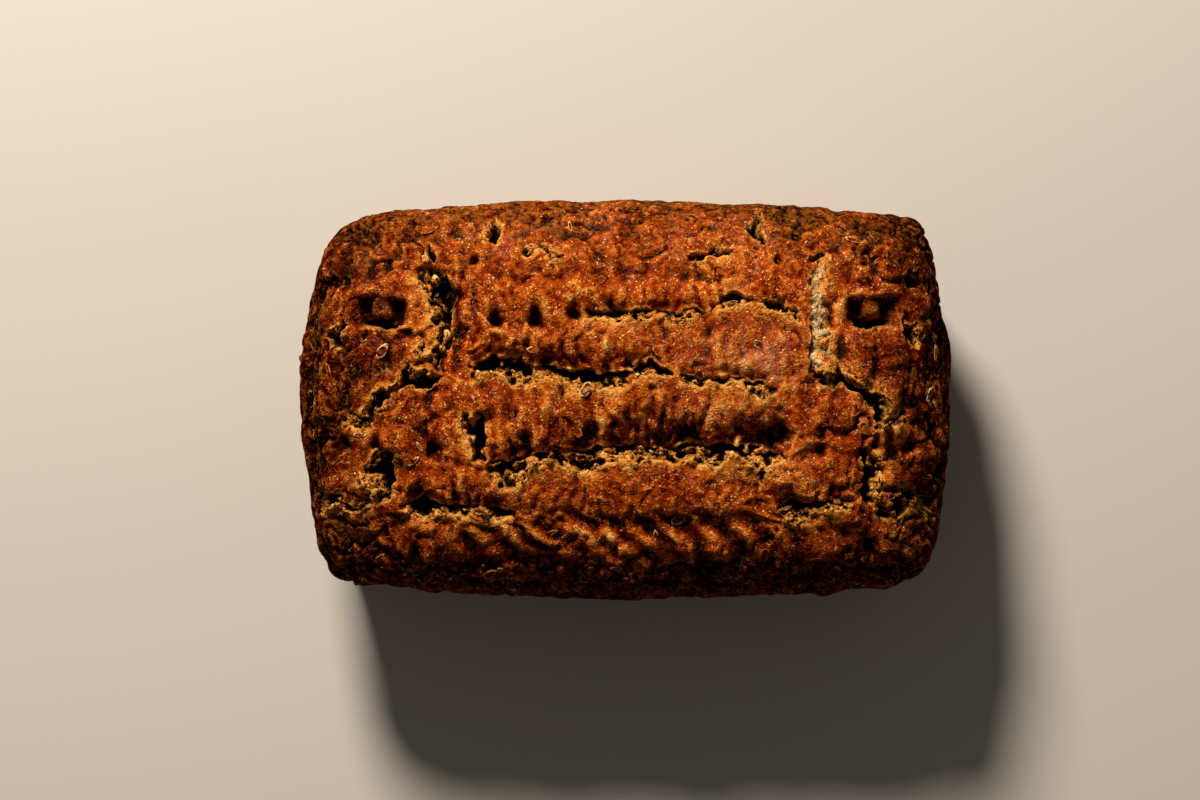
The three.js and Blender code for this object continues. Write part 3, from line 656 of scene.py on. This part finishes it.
class Nodes:
    """Builds one material's node tree: each method adds a node, links its inputs and returns it."""

    def __init__(self, name):
        self.material = bpy.data.materials.new(name)
        self.material.use_nodes = True
        self.tree = self.material.node_tree
        self.shader = self.tree.nodes["Principled BSDF"]
        self.place = self.tree.nodes.new("ShaderNodeTexCoord").outputs["Object"]

    def link(self, value, socket):
        """Links an output, or sets a plain value."""
        if isinstance(value, bpy.types.NodeSocket):
            self.tree.links.new(value, socket)
        else:
            socket.default_value = value

    def field(self, name):
        """A mesh attribute's value."""
        node = self.tree.nodes.new("ShaderNodeAttribute")
        node.attribute_name = name
        return node.outputs["Fac"]

    def noise_node(self, size, detail=3.0, rough=0.55, warp=0.0, stretch=1.0):
        """Fractal noise whose largest blots are size millimetres, and stretch times longer along Y."""
        squeeze = self.tree.nodes.new("ShaderNodeMapping")
        squeeze.inputs["Scale"].default_value = (1, 1 / stretch, 1)
        self.link(self.place, squeeze.inputs["Vector"])
        node = self.tree.nodes.new("ShaderNodeTexNoise")
        self.link(squeeze.outputs["Vector"], node.inputs["Vector"])
        node.inputs["Scale"].default_value = 1000 / size
        node.inputs["Detail"].default_value = detail
        node.inputs["Roughness"].default_value = rough
        node.inputs["Distortion"].default_value = warp
        return node

    def noise(self, *sizes):
        """That noise as one value from 0 to 1."""
        return self.noise_node(*sizes).outputs["Fac"]

    def cells(self, size, reach):
        """Distance to the nearest of points scattered one to a cell of a size, twisted by reach."""
        twist = self.tree.nodes.new("ShaderNodeVectorMath")
        twist.operation = "MULTIPLY_ADD"
        self.link(self.noise_node(size).outputs["Color"], twist.inputs[0])
        twist.inputs[1].default_value = (reach / 1000,) * 3
        self.link(self.place, twist.inputs[2])
        node = self.tree.nodes.new("ShaderNodeTexVoronoi")
        self.link(twist.outputs[0], node.inputs["Vector"])
        node.inputs["Scale"].default_value = 1000 / size
        return node.outputs["Distance"]

    def line(self, value, half_width):
        """1 along the line where a value crosses its middle, falling to 0 at half_width from it."""
        away = self.math("ABSOLUTE", self.math("SUBTRACT", value, 0.5))
        return self.band(away, half_width, 0.0)

    def math(self, operation, one, two=0.0, clamp=False):
        """One operation on two values."""
        node = self.tree.nodes.new("ShaderNodeMath")
        node.operation = operation
        node.use_clamp = clamp
        self.link(one, node.inputs[0])
        self.link(two, node.inputs[1])
        return node.outputs[0]

    def times(self, product, *values):
        """The product of all the values."""
        for value in values:
            product = self.math("MULTIPLY", product, value)
        return product

    def band(self, value, low, high):
        """0 below low and 1 above high, smooth between them; the other way round if high is below."""
        node = self.tree.nodes.new("ShaderNodeMapRange")
        node.interpolation_type = "SMOOTHSTEP"
        self.link(value, node.inputs["Value"])
        if low < high:
            ends = (low, high, 0.0, 1.0)
        else:
            ends = (high, low, 1.0, 0.0)
        for socket, end in zip(("From Min", "From Max", "To Min", "To Max"), ends):
            node.inputs[socket].default_value = end
        return node.outputs["Result"]

    def tone(self, start, *parts):
        """A start value plus, for each part, its weight times how far its value is past its middle."""
        total = start
        for value, _, weight in parts:
            node = self.tree.nodes.new("ShaderNodeMath")
            node.operation = "MULTIPLY_ADD"
            self.link(value, node.inputs[0])
            node.inputs[1].default_value = weight
            self.link(total, node.inputs[2])
            total = node.outputs[0]
        return self.math("SUBTRACT", total, sum(middle * weight for _, middle, weight in parts))

    def ramp(self, value, *stops):
        """A colour for a value, read between stops of a place from 0 to 1 and a colour."""
        node = self.tree.nodes.new("ShaderNodeValToRGB")
        self.link(value, node.inputs["Fac"])
        stretch = node.color_ramp.elements
        while len(stretch) < len(stops):
            stretch.new(0.5)
        for element, (place, colour) in zip(stretch, stops):
            element.position = place
            element.color = colour
        return node.outputs["Color"]

    def mix(self, share, one, two):
        """Colour one turning to colour two by share."""
        node = self.tree.nodes.new("ShaderNodeMix")
        node.data_type = "RGBA"
        self.link(share, node.inputs["Factor"])
        self.link(one, node.inputs["A"])
        self.link(two, node.inputs["B"])
        return node.outputs["Result"]

    def over(self, below, colour, strength, *shares):
        """A colour laid over the one below, by its strength times the product of its shares."""
        return self.mix(self.times(*shares, strength), below, colour)

    def bump(self, height, depth):
        """A bump of depth millimetres by a height from 0 to 1."""
        node = self.tree.nodes.new("ShaderNodeBump")
        node.inputs["Distance"].default_value = depth / 1000
        self.link(height, node.inputs["Height"])
        return node.outputs["Normal"]


def paint(red, green, blue):
    """A colour given by its screen values from 0 to 255, as the linear values that a shader takes."""
    screen = np.array([red, green, blue]) / 255
    linear = np.where(screen <= 0.04045, screen / 12.92, ((screen + 0.055) / 1.055) ** 2.4)
    return (*linear, 1.0)


# The skin's colours by its tone, from charred to blistered, and what lies over them.
SKIN = [(0.0, paint(16, 2, 1)), (0.16, paint(48, 6, 1)), (0.32, paint(98, 22, 1)),
        (0.48, paint(150, 51, 3)), (0.6, paint(180, 79, 12)), (0.74, paint(209, 120, 38)),
        (0.88, paint(235, 166, 84)), (1.0, paint(252, 212, 148))]
# Golden blisters on the peaks, partly a painted highlight.
BLISTER_AND_HIGHLIGHT = paint(226, 148, 66)
WARM_GOLD = paint(226, 138, 44)
MARBLED = paint(178, 100, 30)
# Painted sheen on the glazed spots.
ROSY_SHEEN = paint(214, 146, 108)
# Painted shade in the hollows.
DIP_SHADE = paint(24, 5, 1)
WRINKLE = paint(18, 4, 1)
THREAD = paint(232, 170, 96)
CHARRED = paint(36, 8, 1)
HUSK = paint(84, 54, 22)
# Painted glints.
PAINTED_GLINT = paint(255, 216, 150)
PORE = paint(26, 10, 2)
LIP = paint(242, 172, 80)

# Torn crumb, the healed scar, the painted shade of tears and pockets, and the walls.
CRUMB_BROWN, CRUMB_CREAM = paint(120, 60, 14), paint(234, 164, 78)
# Painted shade for the crumb's hollows; the pore colour also paints shade on its low spots.
CRUMB_HOLLOW_SHADE, CRUMB_PORE_AND_SHADE = paint(16, 5, 1), paint(14, 5, 1)
SCAR_TAN, SCAR_CREAM, SCAR_PORE = paint(158, 108, 60), paint(232, 198, 148), paint(30, 12, 3)
GAP_SHADE, POCKET_SHADE = paint(8, 3, 1), paint(18, 5, 1)
WALL_BROWN, WALL_TAN, WALL_PIT = paint(70, 30, 11), paint(118, 62, 26), paint(30, 12, 4)


def crust_patterns(n):
    """The crust's fields, and the noises, dots and lines that its colours and its relief share."""
    names = ("gap", "crumb", "lip", "warm", "rolled", "peak", "ridge", "pocket", "dome", "bake", "pale",
             "stain", "glaze")
    p = SimpleNamespace(**{name: n.field(name) for name in names})
    p.broad = n.noise(38, 2)
    p.blotch = n.noise(11, 4, 0.6, 0.8)
    p.swirl = n.noise(5.5, 3, 0.6, 2.0)
    p.mottle = n.noise(2.8, 4, 0.6, 1.2)
    p.fine = n.noise(1.4, 2, 0.5, 1.6)
    p.speck = n.noise(0.65, 1, 0.5, 1.0)
    p.pull = n.noise(2.4, 3, 0.65, 0.8, 3.5)
    p.pore = n.cells(1.9, 1.6)
    p.dots = n.band(n.cells(1.25, 1.2), 0.24, 0.12)
    p.thread = n.times(n.line(n.noise(6.5, 1.5, 0.5, 1.6), 0.03), n.band(p.mottle, 0.46, 0.6))
    wrinkled = n.math("ADD", n.band(p.bake, 0.0, 0.4), 0.25, clamp=True)
    p.wrinkle = n.times(n.line(n.noise(8, 3, 0.6, 0.8), 0.02), n.band(p.blotch, 0.55, 0.45), wrinkled)
    return p


def skin_tone(n, p):
    """How the skin browned, from 0 charred to 1 blistered: patches, grains and streaks, less the
    darkening of baking and painted shade. Painted light and shade also pale its peaks, ridges and
    glazed spots, and darken its hollows and rolled front slopes.
    """
    grainy = n.math("ADD", n.band(n.noise(8, 2, 0.5, 1.0), 0.4, 0.62), 0.3)
    grit = n.times(n.tone(0.0, (p.fine, 0.5, 1.0), (p.speck, 0.5, 1.0)), grainy, n.band(p.bake, 1.3, 0.2))
    drawn = n.times(n.tone(0.0, (p.pull, 0.5, 1.4)), n.band(p.rolled, 0.0, 0.4))
    # Painted light and shade: peak and ridge pale the highs and darken the hollows, rolled darkens the
    # front slopes, and the sheen spots are painted paler.
    return n.tone(
        0.455, (p.broad, 0.5, 0.25), (p.blotch, 0.5, 0.3), (p.stain, 0.5, 0.26), (p.swirl, 0.5, 0.36),
        (p.mottle, 0.5, 0.55), (grit, 0.0, 0.6), (drawn, 0.0, 0.9), (p.peak, 0.5, 0.3),
        (n.band(p.ridge, 0.15, 0.6), 0.75, 0.15), (p.warm, 0.0, 0.12), (p.bake, 0.0, -0.33),
        (n.band(p.rolled, 0.05, 0.9), 0.0, -0.17), (p.glaze, 0.0, 0.09))


def skin_colour(n, p):
    """The skin's colour by its tone, under layers from blisters and painted highlights on its peaks,
    a painted rosy sheen, painted shade in its hollows and painted glints, to pores by the tears.
    """
    tone = skin_tone(n, p)
    marbled = n.band(n.noise(7, 3, 0.6, 2.4), 0.5, 0.64)
    charred = n.band(n.noise(4.6, 4, 0.7, 2.2), 0.37, 0.31)
    husk = n.band(n.noise(6.4, 3, 0.6, 1.8), 0.4, 0.34)
    lit = n.band(n.tone(tone, (p.mottle, 0.5, 0.8)), 0.3, 0.56)
    colour = n.ramp(tone, *SKIN)
    # Peaks painted golden: blisters, and partly a painted highlight.
    colour = n.over(colour, BLISTER_AND_HIGHLIGHT, 0.4, n.band(p.peak, 0.7, 1.0), n.band(p.fine, 0.45, 0.6))
    colour = n.over(colour, WARM_GOLD, 0.4, p.warm, n.band(p.mottle, 0.4, 0.6))
    colour = n.over(colour, MARBLED, 0.5, marbled, n.band(p.bake, 0.05, 0.5), n.band(p.fine, 0.3, 0.6))
    # Painted sheen: a rosy highlight in streaks over the glazed spots.
    colour = n.over(colour, ROSY_SHEEN, 0.3, p.glaze, n.band(p.pull, 0.42, 0.62))
    # Painted shade: the low points are painted near black.
    colour = n.over(colour, DIP_SHADE, 0.7, n.band(p.peak, 0.3, 0.05))
    colour = n.over(colour, WRINKLE, 0.85, p.wrinkle)
    colour = n.over(colour, THREAD, 0.6, p.thread, n.band(p.blotch, 0.4, 0.6))
    colour = n.over(colour, CHARRED, 0.75, charred)
    colour = n.over(colour, HUSK, 0.62, husk, n.band(p.fine, 0.35, 0.55))
    # Painted glints: bright dots where the tone is mid to bright.
    colour = n.over(colour, PAINTED_GLINT, 0.9, p.dots, lit)
    return n.over(colour, PORE, 0.85, n.band(p.pore, 0.3, 0.2), n.band(p.warm, 0.5, 0.9))


def torn_colour(n, p):
    """Torn crumb, black in its pores and, as painted shade, in its hollows and low spots, and tan with
    fewer pores on the healed scar.
    """
    torn = n.mix(n.band(p.fine, 0.42, 0.62), CRUMB_BROWN, CRUMB_CREAM)
    # Painted shade: the crumb's hollows are painted near black.
    torn = n.over(torn, CRUMB_HOLLOW_SHADE, 0.9, n.band(p.ridge, 0.5, 0.2))
    torn = n.over(torn, CRUMB_PORE_AND_SHADE, 0.97, n.band(p.pore, 0.42, 0.3))
    # Painted shade: the crumb's low spots are painted black too.
    torn = n.over(torn, CRUMB_PORE_AND_SHADE, 0.95, n.band(p.peak, 0.45, 0.2))
    healed = n.mix(n.band(p.fine, 0.4, 0.6), SCAR_TAN, SCAR_CREAM)
    healed = n.over(healed, SCAR_PORE, 0.85, n.band(p.pore, 0.36, 0.24))
    return n.mix(p.pale, torn, healed)


def wall_colour(n, p):
    """The smoother brown that the tin gave the walls, with small dark pits."""
    patches = n.tone(0.5, (p.broad, 0.5, 1.0), (p.fine, 0.5, 0.6), (p.speck, 0.5, 0.8))
    wall = n.mix(n.band(patches, 0.3, 0.7), WALL_BROWN, WALL_TAN)
    return n.over(wall, WALL_PIT, 0.7, n.band(n.cells(4, 2), 0.16, 0.08))


def crust_material():
    """Baked crust: skin, golden lips, torn crumb and walls, the painted shade of tears and pockets,
    and a thin clear coat where it baked least.
    """
    n = Nodes("crust")
    p = crust_patterns(n)
    colour = n.over(skin_colour(n, p), LIP, 0.95, p.lip, n.band(p.mottle, 0.4, 0.54))
    colour = n.mix(n.band(p.crumb, 0.35, 0.75), colour, torn_colour(n, p))
    # Painted shade: tear openings, deep holes and crumb caves are painted black, the pockets nearly so.
    colour = n.over(colour, GAP_SHADE, 0.98, p.gap)
    colour = n.over(colour, POCKET_SHADE, 0.88, p.pocket)
    dome = n.tone(p.dome, (p.blotch, 0.5, 0.9), (p.mottle, 0.5, 0.5))
    colour = n.mix(n.band(dome, 0.7, 0.1), colour, wall_colour(n, p))
    n.link(colour, n.shader.inputs["Base Color"])
    bare = n.math("MAXIMUM", p.crumb, p.gap)
    rough = n.math("ADD", n.times(n.band(p.swirl, 0.3, 0.7), 0.2), 0.4)
    rough = n.math("ADD", rough, n.times(bare, 0.5), clamp=True)
    n.link(rough, n.shader.inputs["Roughness"])
    n.shader.inputs["Specular IOR Level"].default_value = 0.0
    glazed = n.math("SUBTRACT", n.band(p.bake, 0.9, 0.1), bare, clamp=True)
    sheen = n.math("ADD", n.times(n.band(n.noise(15, 2, 0.5, 0.6), 0.48, 0.62), 0.12), 0.02)
    sheen = n.tone(sheen, (p.dots, 0.0, 0.35), (p.glaze, 0.0, 0.05))
    n.link(n.times(glazed, sheen), n.shader.inputs["Coat Weight"])
    n.shader.inputs["Coat Roughness"].default_value = 0.26
    grain = n.tone(0.0, (p.mottle, 0.5, 0.7), (p.fine, 0.5, 0.85), (p.speck, 0.5, 0.2),
                   (p.thread, 0.0, 0.1), (p.wrinkle, 0.0, -0.5))
    n.link(n.bump(grain, 1.0), n.shader.inputs["Normal"])
    coat_grain = n.tone(0.0, (p.mottle, 0.5, 0.3), (p.fine, 0.5, 0.5))
    n.link(n.bump(coat_grain, 1.0), n.shader.inputs["Coat Normal"])
    return n.material


crust = mesh_object("rye_crust", crust_points, crust_triangles, crust_fields, crust_material())
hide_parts("rye_loaf")
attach(crust, "root")


# ---- Torn crumb ----------------------------------------------------------------------------------
# Where the crust tore, the bread inside shows as coarse lumps and threads of golden crumb with
# black gaps between them. Each lump is a jittered twenty-sided ball, most of it sunk where it grew.

CRUMB_LUMPS = 380
LIP_LUMPS = 60  # more of them stand along the torn edges
LOOSE_CRUMBS = 60  # these lie loose on the crust beside the tears
LUMP_SIZE = 0.8  # mean radius
LUMP_SEED = 41
LUMP_BROWN, LUMP_GOLD, LUMP_CREAM = paint(66, 26, 4), paint(200, 122, 40), paint(240, 186, 108)
LUMP_SHADE = paint(60, 26, 8)


def drawn_places(weights, count, generator):
    """Random points of the crust, and the smooth loaf's normals there.

    Triangles are drawn by their area times a weight, and then a spot in each.
    """
    p, q, r = (crust_points[crust_triangles[:, n]] for n in range(3))
    area = np.linalg.norm(np.cross(q - p, r - p), axis=1)
    chance = area * weights[crust_triangles].mean(1)
    drawn = generator.choice(len(crust_triangles), count, p=chance / chance.sum())
    u, v = generator.random((2, count, 1))
    over = u + v > 1
    u, v = np.where(over, 1 - u, u), np.where(over, 1 - v, v)
    places = p[drawn] + u * (q - p)[drawn] + v * (r - p)[drawn]
    return places, smooth_normals[crust_triangles[drawn, 0]]


def ball():
    """The twelve points and twenty triangles of an icosahedron of radius one."""
    made = bmesh.new()
    bmesh.ops.create_icosphere(made, subdivisions=1, radius=1)
    points = np.array([vertex.co for vertex in made.verts])
    triangles = np.array([[vertex.index for vertex in face.verts] for face in made.faces])
    made.free()
    return points, triangles


def turned_frames(normals, generator):
    """For each normal, three unit axes: one in a random direction across it, its partner, itself."""
    loose = generator.normal(size=normals.shape)
    along = np.cross(normals, loose)
    along /= np.linalg.norm(along, axis=1)[:, None]
    return np.stack([along, np.cross(normals, along), normals], 1)


def copies(shapes, triangles, places, frames):
    """All shapes, each turned to its frame and moved to its place, as one mesh's points and triangles."""
    points = places[:, None] + np.einsum("nvi,nij->nvj", shapes, frames)
    starts = np.arange(len(places)) * shapes.shape[1]
    return points.reshape(-1, 3), (triangles[None] + starts[:, None, None]).reshape(-1, 3)


def crumb_material():
    """Rye crumb: each lump of one tone from brown over gold to cream, with darker grit."""
    n = Nodes("torn_crumb")
    tone = n.field("tone")
    grit = n.noise(1.1, 4, 0.65)
    colour = n.mix(n.band(tone, 0.0, 0.6), LUMP_BROWN, LUMP_GOLD)
    colour = n.mix(n.band(tone, 0.75, 1.0), colour, LUMP_CREAM)
    colour = n.over(colour, LUMP_SHADE, 0.7, n.band(grit, 0.5, 0.36))
    n.link(colour, n.shader.inputs["Base Color"])
    n.shader.inputs["Roughness"].default_value = 0.8
    n.shader.inputs["Specular IOR Level"].default_value = 0.2
    n.link(n.bump(grit, 0.3), n.shader.inputs["Normal"])
    return n.material


def crumb_mesh():
    """Points, triangles and tone of all the lumps.

    Each draw has the weights of its places, how many lumps, their size and how far they are sunk
    as shares of the mean radius and of their own.
    """
    generator = np.random.default_rng(LUMP_SEED)
    crumb, lip, gap = (crust_fields[name] for name in ("crumb", "lip", "gap"))
    bare = np.clip(1 - 2 * gap, 0, 1) * (crust_fields["pocket"] < 0.02) * (1 - crust_fields["pale"])
    draws = [
        (crumb * bare, CRUMB_LUMPS, 1.1, 0.9),
        (lip * bare, LIP_LUMPS, 0.7, 0.8),
        (crust_fields["warm"] * (1 - crumb) * bare, LOOSE_CRUMBS, 0.5, 0.2),
    ]
    shape, faces = ball()
    places, normals, radii = [], [], []
    for weights, count, size, sunk in draws:
        spots, ups = drawn_places(weights, count, generator)
        radius = LUMP_SIZE * size * generator.lognormal(0, 0.35, count)
        places.append(spots - ups * (sunk * radius)[:, None])
        normals.append(ups)
        radii.append(radius)
    places, normals, radii = np.concatenate(places), np.concatenate(normals), np.concatenate(radii)
    jitter = generator.uniform(0.5, 1.4, (len(places), len(shape), 1))
    stretch = generator.uniform(0.7, 1.3, (len(places), 1, 3)) * (1.25, 0.9, 0.8)
    shapes = shape * jitter * stretch * radii[:, None, None]
    points, triangles = copies(shapes, faces, places, turned_frames(normals, generator))
    tone = np.repeat(generator.random(len(places)), len(shape))
    return points, triangles, {"tone": tone}


crumb_points, crumb_triangles, crumb_fields = crumb_mesh()
torn_crumb = mesh_object("torn_crumb", crumb_points, crumb_triangles, crumb_fields, crumb_material())
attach(torn_crumb, "root")


# ---- Grain flakes --------------------------------------------------------------------------------
# Rolled rye and oat flakes baked into the skin: thin ovals with a raised, paler rim round a
# darker dish. The large ones lie in a loose lattice, the small and narrow ones at random.

GRAIN_PITCH = 13.5  # lattice of the large flakes
GRAIN_SHARE = 0.24  # share of the lattice's cells that hold one
GRAIN_CLEAR = 5  # how far one stays away from a tear or a hole
GRAIN_HALF = (2.7, 1.5, 0.9)  # half its length, width and thickness
GRAIN_SUNK = 0.45  # how deep they lie in the crust
GRAIN_SEED = 77
GRAIN_EDGE = 0.9  # share of the outline within which they lie
SMALL_FLAKES = 110
SMALL_HALF = (1.9, 0.55, 0.2)
SMALL_SEED = 58
FLAKE_SIDES = 12
LARGE_LEAN, SMALL_LEAN = 0.05, 0.08  # how far they tip out of the skin
FLAKE_WOBBLE = 0.12  # how far their outlines stray, as a share of their size
DISH_DARK, DISH_BROWN = paint(66, 18, 2), paint(136, 54, 8)
RIM_BROWN, RIM_GOLD, RIM_CREAM = paint(128, 56, 8), paint(190, 118, 48), paint(228, 184, 126)


def large_flakes():
    """Places, normals, turns and sizes of the flakes in the lattice's filled cells."""
    reach_x = int(np.ceil(LENGTH / 2 / GRAIN_PITCH))
    reach_y = int(np.ceil(WIDTH / 2 / GRAIN_PITCH))
    i, j = np.meshgrid(np.arange(-reach_x, reach_x + 1), np.arange(-reach_y, reach_y + 1), indexing="ij")
    i, j = i.ravel(), j.ravel()
    x = (i + 0.8 * (hashed(i, j, 2, GRAIN_SEED) - 0.5)) * GRAIN_PITCH
    y = (j + 0.8 * (hashed(i, j, 3, GRAIN_SEED) - 0.5)) * GRAIN_PITCH
    a, b = x / (LENGTH / 2), y / (WIDTH / 2)
    keep = (hashed(i, j, 1, GRAIN_SEED) <= GRAIN_SHARE) & (np.maximum(np.abs(a), np.abs(b)) < GRAIN_EDGE)
    for path, *_ in TEARS:
        keep &= np.abs(along_path(path, x, y)[0]) > GRAIN_CLEAR
    for hole_x, hole_y, *_ in HOLES:
        keep &= np.hypot(x - hole_x, y - hole_y) > GRAIN_CLEAR
    a, b, i, j = a[keep], b[keep], i[keep], j[keep]
    step = 0.01
    spots = dome_points(a, b)
    normals = np.cross(dome_points(a + step, b) - spots, dome_points(a, b + step) - spots)
    normals /= np.linalg.norm(normals, axis=1)[:, None]
    spots = spots + (stand_out(spots)[0] - GRAIN_SUNK)[:, None] * normals - centre
    return spots, normals, np.pi * hashed(i, j, 4, GRAIN_SEED), 0.8 + 0.4 * hashed(i, j, 5, GRAIN_SEED)


def flake_shape():
    """One flake of half sizes one: rings of dish, crest and edge round a middle, and its underside."""
    turn = np.arange(FLAKE_SIDES) * 2 * np.pi / FLAKE_SIDES
    round_about = np.stack([np.cos(turn), np.sin(turn)], 1)
    rings = [(0.55, 0.45), (0.84, 1.0), (1.0, 0.35)]
    points = [[0, 0, 0.35]]
    points += [[*(radius * xy), height] for radius, height in rings for xy in round_about]
    points += [[0, 0, -1]]
    rim = [0] + [0] * FLAKE_SIDES + [1] * FLAKE_SIDES + [0.6] * FLAKE_SIDES + [0]
    k = np.arange(FLAKE_SIDES)
    after = (k + 1) % FLAKE_SIDES
    faces = [np.stack([0 * k, 1 + k, 1 + after], 1)]
    for ring in range(len(rings) - 1):
        inner = 1 + ring * FLAKE_SIDES
        outer = inner + FLAKE_SIDES
        faces.append(np.stack([inner + k, outer + k, outer + after], 1))
        faces.append(np.stack([inner + k, outer + after, inner + after], 1))
    last = 1 + (len(rings) - 1) * FLAKE_SIDES
    faces.append(np.stack([last + k, 0 * k + len(points) - 1, last + after], 1))
    return np.array(points, float), np.concatenate(faces), np.array(rim, float)


def flake_material():
    """Flakes: brown dishes in rims of one tone each, from brown over gold to cream."""
    n = Nodes("grain")
    tone, rim = n.field("tone"), n.field("rim")
    mottle = n.noise(1.6, 3, 0.6)
    dish = n.mix(n.band(mottle, 0.35, 0.65), DISH_DARK, DISH_BROWN)
    edge = n.mix(n.band(tone, 0.0, 0.8), RIM_BROWN, RIM_GOLD)
    edge = n.mix(n.band(tone, 0.7, 0.9), edge, RIM_CREAM)
    colour = n.mix(n.times(n.band(rim, 0.45, 0.9), n.band(mottle, 0.3, 0.45)), dish, edge)
    n.link(colour, n.shader.inputs["Base Color"])
    n.shader.inputs["Roughness"].default_value = 0.5
    n.shader.inputs["Specular IOR Level"].default_value = 0.03
    n.link(n.bump(mottle, 0.3), n.shader.inputs["Normal"])
    return n.material


def flake_mesh():
    """Points, triangles, tone and rim of all the flakes."""
    generator = np.random.default_rng(SMALL_SEED)
    shape, faces, rim = flake_shape()
    spots, ups, spins, sizes = large_flakes()
    halves = sizes[:, None] * GRAIN_HALF
    x, y, _ = crust_points.T
    ends = np.maximum(smoothstep(45, 65, np.abs(x)), smoothstep(-36, -48, y))
    clean = (crust_fields["gap"] + crust_fields["pocket"] + crust_fields["crumb"] < 0.02) * (out > -2)
    weights = (0.3 + ends) * clean * smoothstep(58, 66, crust_points[:, 2])
    places, normals = drawn_places(weights, SMALL_FLAKES, generator)
    places = np.concatenate([spots, places])
    normals = np.concatenate([ups, normals])
    small = generator.lognormal(0, 0.25, (SMALL_FLAKES, 1)) * SMALL_HALF
    halves = np.concatenate([halves, small])
    spins = np.concatenate([spins, generator.uniform(0, np.pi, SMALL_FLAKES)])
    lean = np.where(np.arange(len(normals)) < len(spots), LARGE_LEAN, SMALL_LEAN)[:, None]
    tilted = normals + lean * generator.normal(size=normals.shape)
    tilted /= np.linalg.norm(tilted, axis=1)[:, None]
    along = np.stack([np.cos(spins), np.sin(spins), 0 * spins], 1)
    along -= (along * tilted).sum(1)[:, None] * tilted
    along /= np.linalg.norm(along, axis=1)[:, None]
    frames = np.stack([along, np.cross(tilted, along), tilted], 1)
    wobble = 1 + FLAKE_WOBBLE * generator.normal(size=(len(places), len(shape), 1)) * (1, 1, 0.5)
    points, triangles = copies(shape * wobble * halves[:, None], faces, places, frames)
    tone = np.repeat(generator.random(len(places)), len(shape))
    return points, triangles, {"tone": tone, "rim": np.tile(rim, len(places))}


flake_points, flake_triangles, flake_fields = flake_mesh()
flakes = mesh_object("grain_flakes", flake_points, flake_triangles, flake_fields, flake_material())
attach(flakes, "root")


# ---- Table, light and camera ---------------------------------------------------------------------
# A plain pale table top under the loaf, one large soft light behind it and a little to the left,
# a faint fill from all round, and a camera straight above, a little left of the loaf's middle.

TABLE_SIZE = 6000.0
TABLE_COLOUR = paint(212, 206, 198)

# Lengths from here on are in metres, and the power is in watts.
LIGHT_PLACE = (-0.36, 1.05, 0.82)
LIGHT_AIM = (0, 0, 0.04)
LIGHT_SIZE = 0.34
LIGHT_POWER = 30
LIGHT_COLOUR = (1.0, 0.91, 0.78)
FILL_COLOUR = (1.0, 0.92, 0.82, 1)
FILL_STRENGTH = 0.075
CAMERA_HEIGHT = 1.55  # above the widest outline
CAMERA_OFFSET = -0.0087  # the camera's place along X
FIELD_WIDTH = 0.408  # seen from left to right at the widest outline
SENSOR_WIDTH = 36.0  # of the camera, in mm


def table_material():
    """Matt pale card."""
    n = Nodes("table")
    n.shader.inputs["Base Color"].default_value = TABLE_COLOUR
    n.shader.inputs["Roughness"].default_value = 0.9
    return n.material


half = TABLE_SIZE / 2
corners = np.array([[-half, -half, 0], [half, -half, 0], [half, half, 0], [-half, half, 0]])
table_triangles = np.array([[0, 1, 2], [0, 2, 3]])
table_top = mesh_object("table_top", corners, table_triangles, {}, table_material())

window = bpy.data.lights.new("window", "AREA")
window.shape = "DISK"
window.size = LIGHT_SIZE
window.energy = LIGHT_POWER
window.color = LIGHT_COLOUR
window_holder = bpy.data.objects.new("window", window)
window_holder.location = LIGHT_PLACE
bpy.context.scene.collection.objects.link(window_holder)

aim = bpy.data.objects.new("aim", None)
aim.location = LIGHT_AIM
bpy.context.scene.collection.objects.link(aim)
track = window_holder.constraints.new("TRACK_TO")
track.target = aim
track.track_axis = "TRACK_NEGATIVE_Z"
track.up_axis = "UP_Y"

world = bpy.data.worlds.new("room")
bpy.context.scene.world = world
world.use_nodes = True
world.node_tree.nodes["Background"].inputs["Color"].default_value = FILL_COLOUR
world.node_tree.nodes["Background"].inputs["Strength"].default_value = FILL_STRENGTH

camera = bpy.data.cameras.new("camera")
camera.sensor_width = SENSOR_WIDTH
camera.lens = SENSOR_WIDTH * CAMERA_HEIGHT / FIELD_WIDTH
camera_holder = bpy.data.objects.new("camera", camera)
camera_holder.location = (CAMERA_OFFSET, 0, RIM_HEIGHT / 1000 + CAMERA_HEIGHT)
bpy.context.scene.collection.objects.link(camera_holder)
bpy.context.scene.camera = camera_holder
bpy.context.scene.view_settings.view_transform = "Standard"
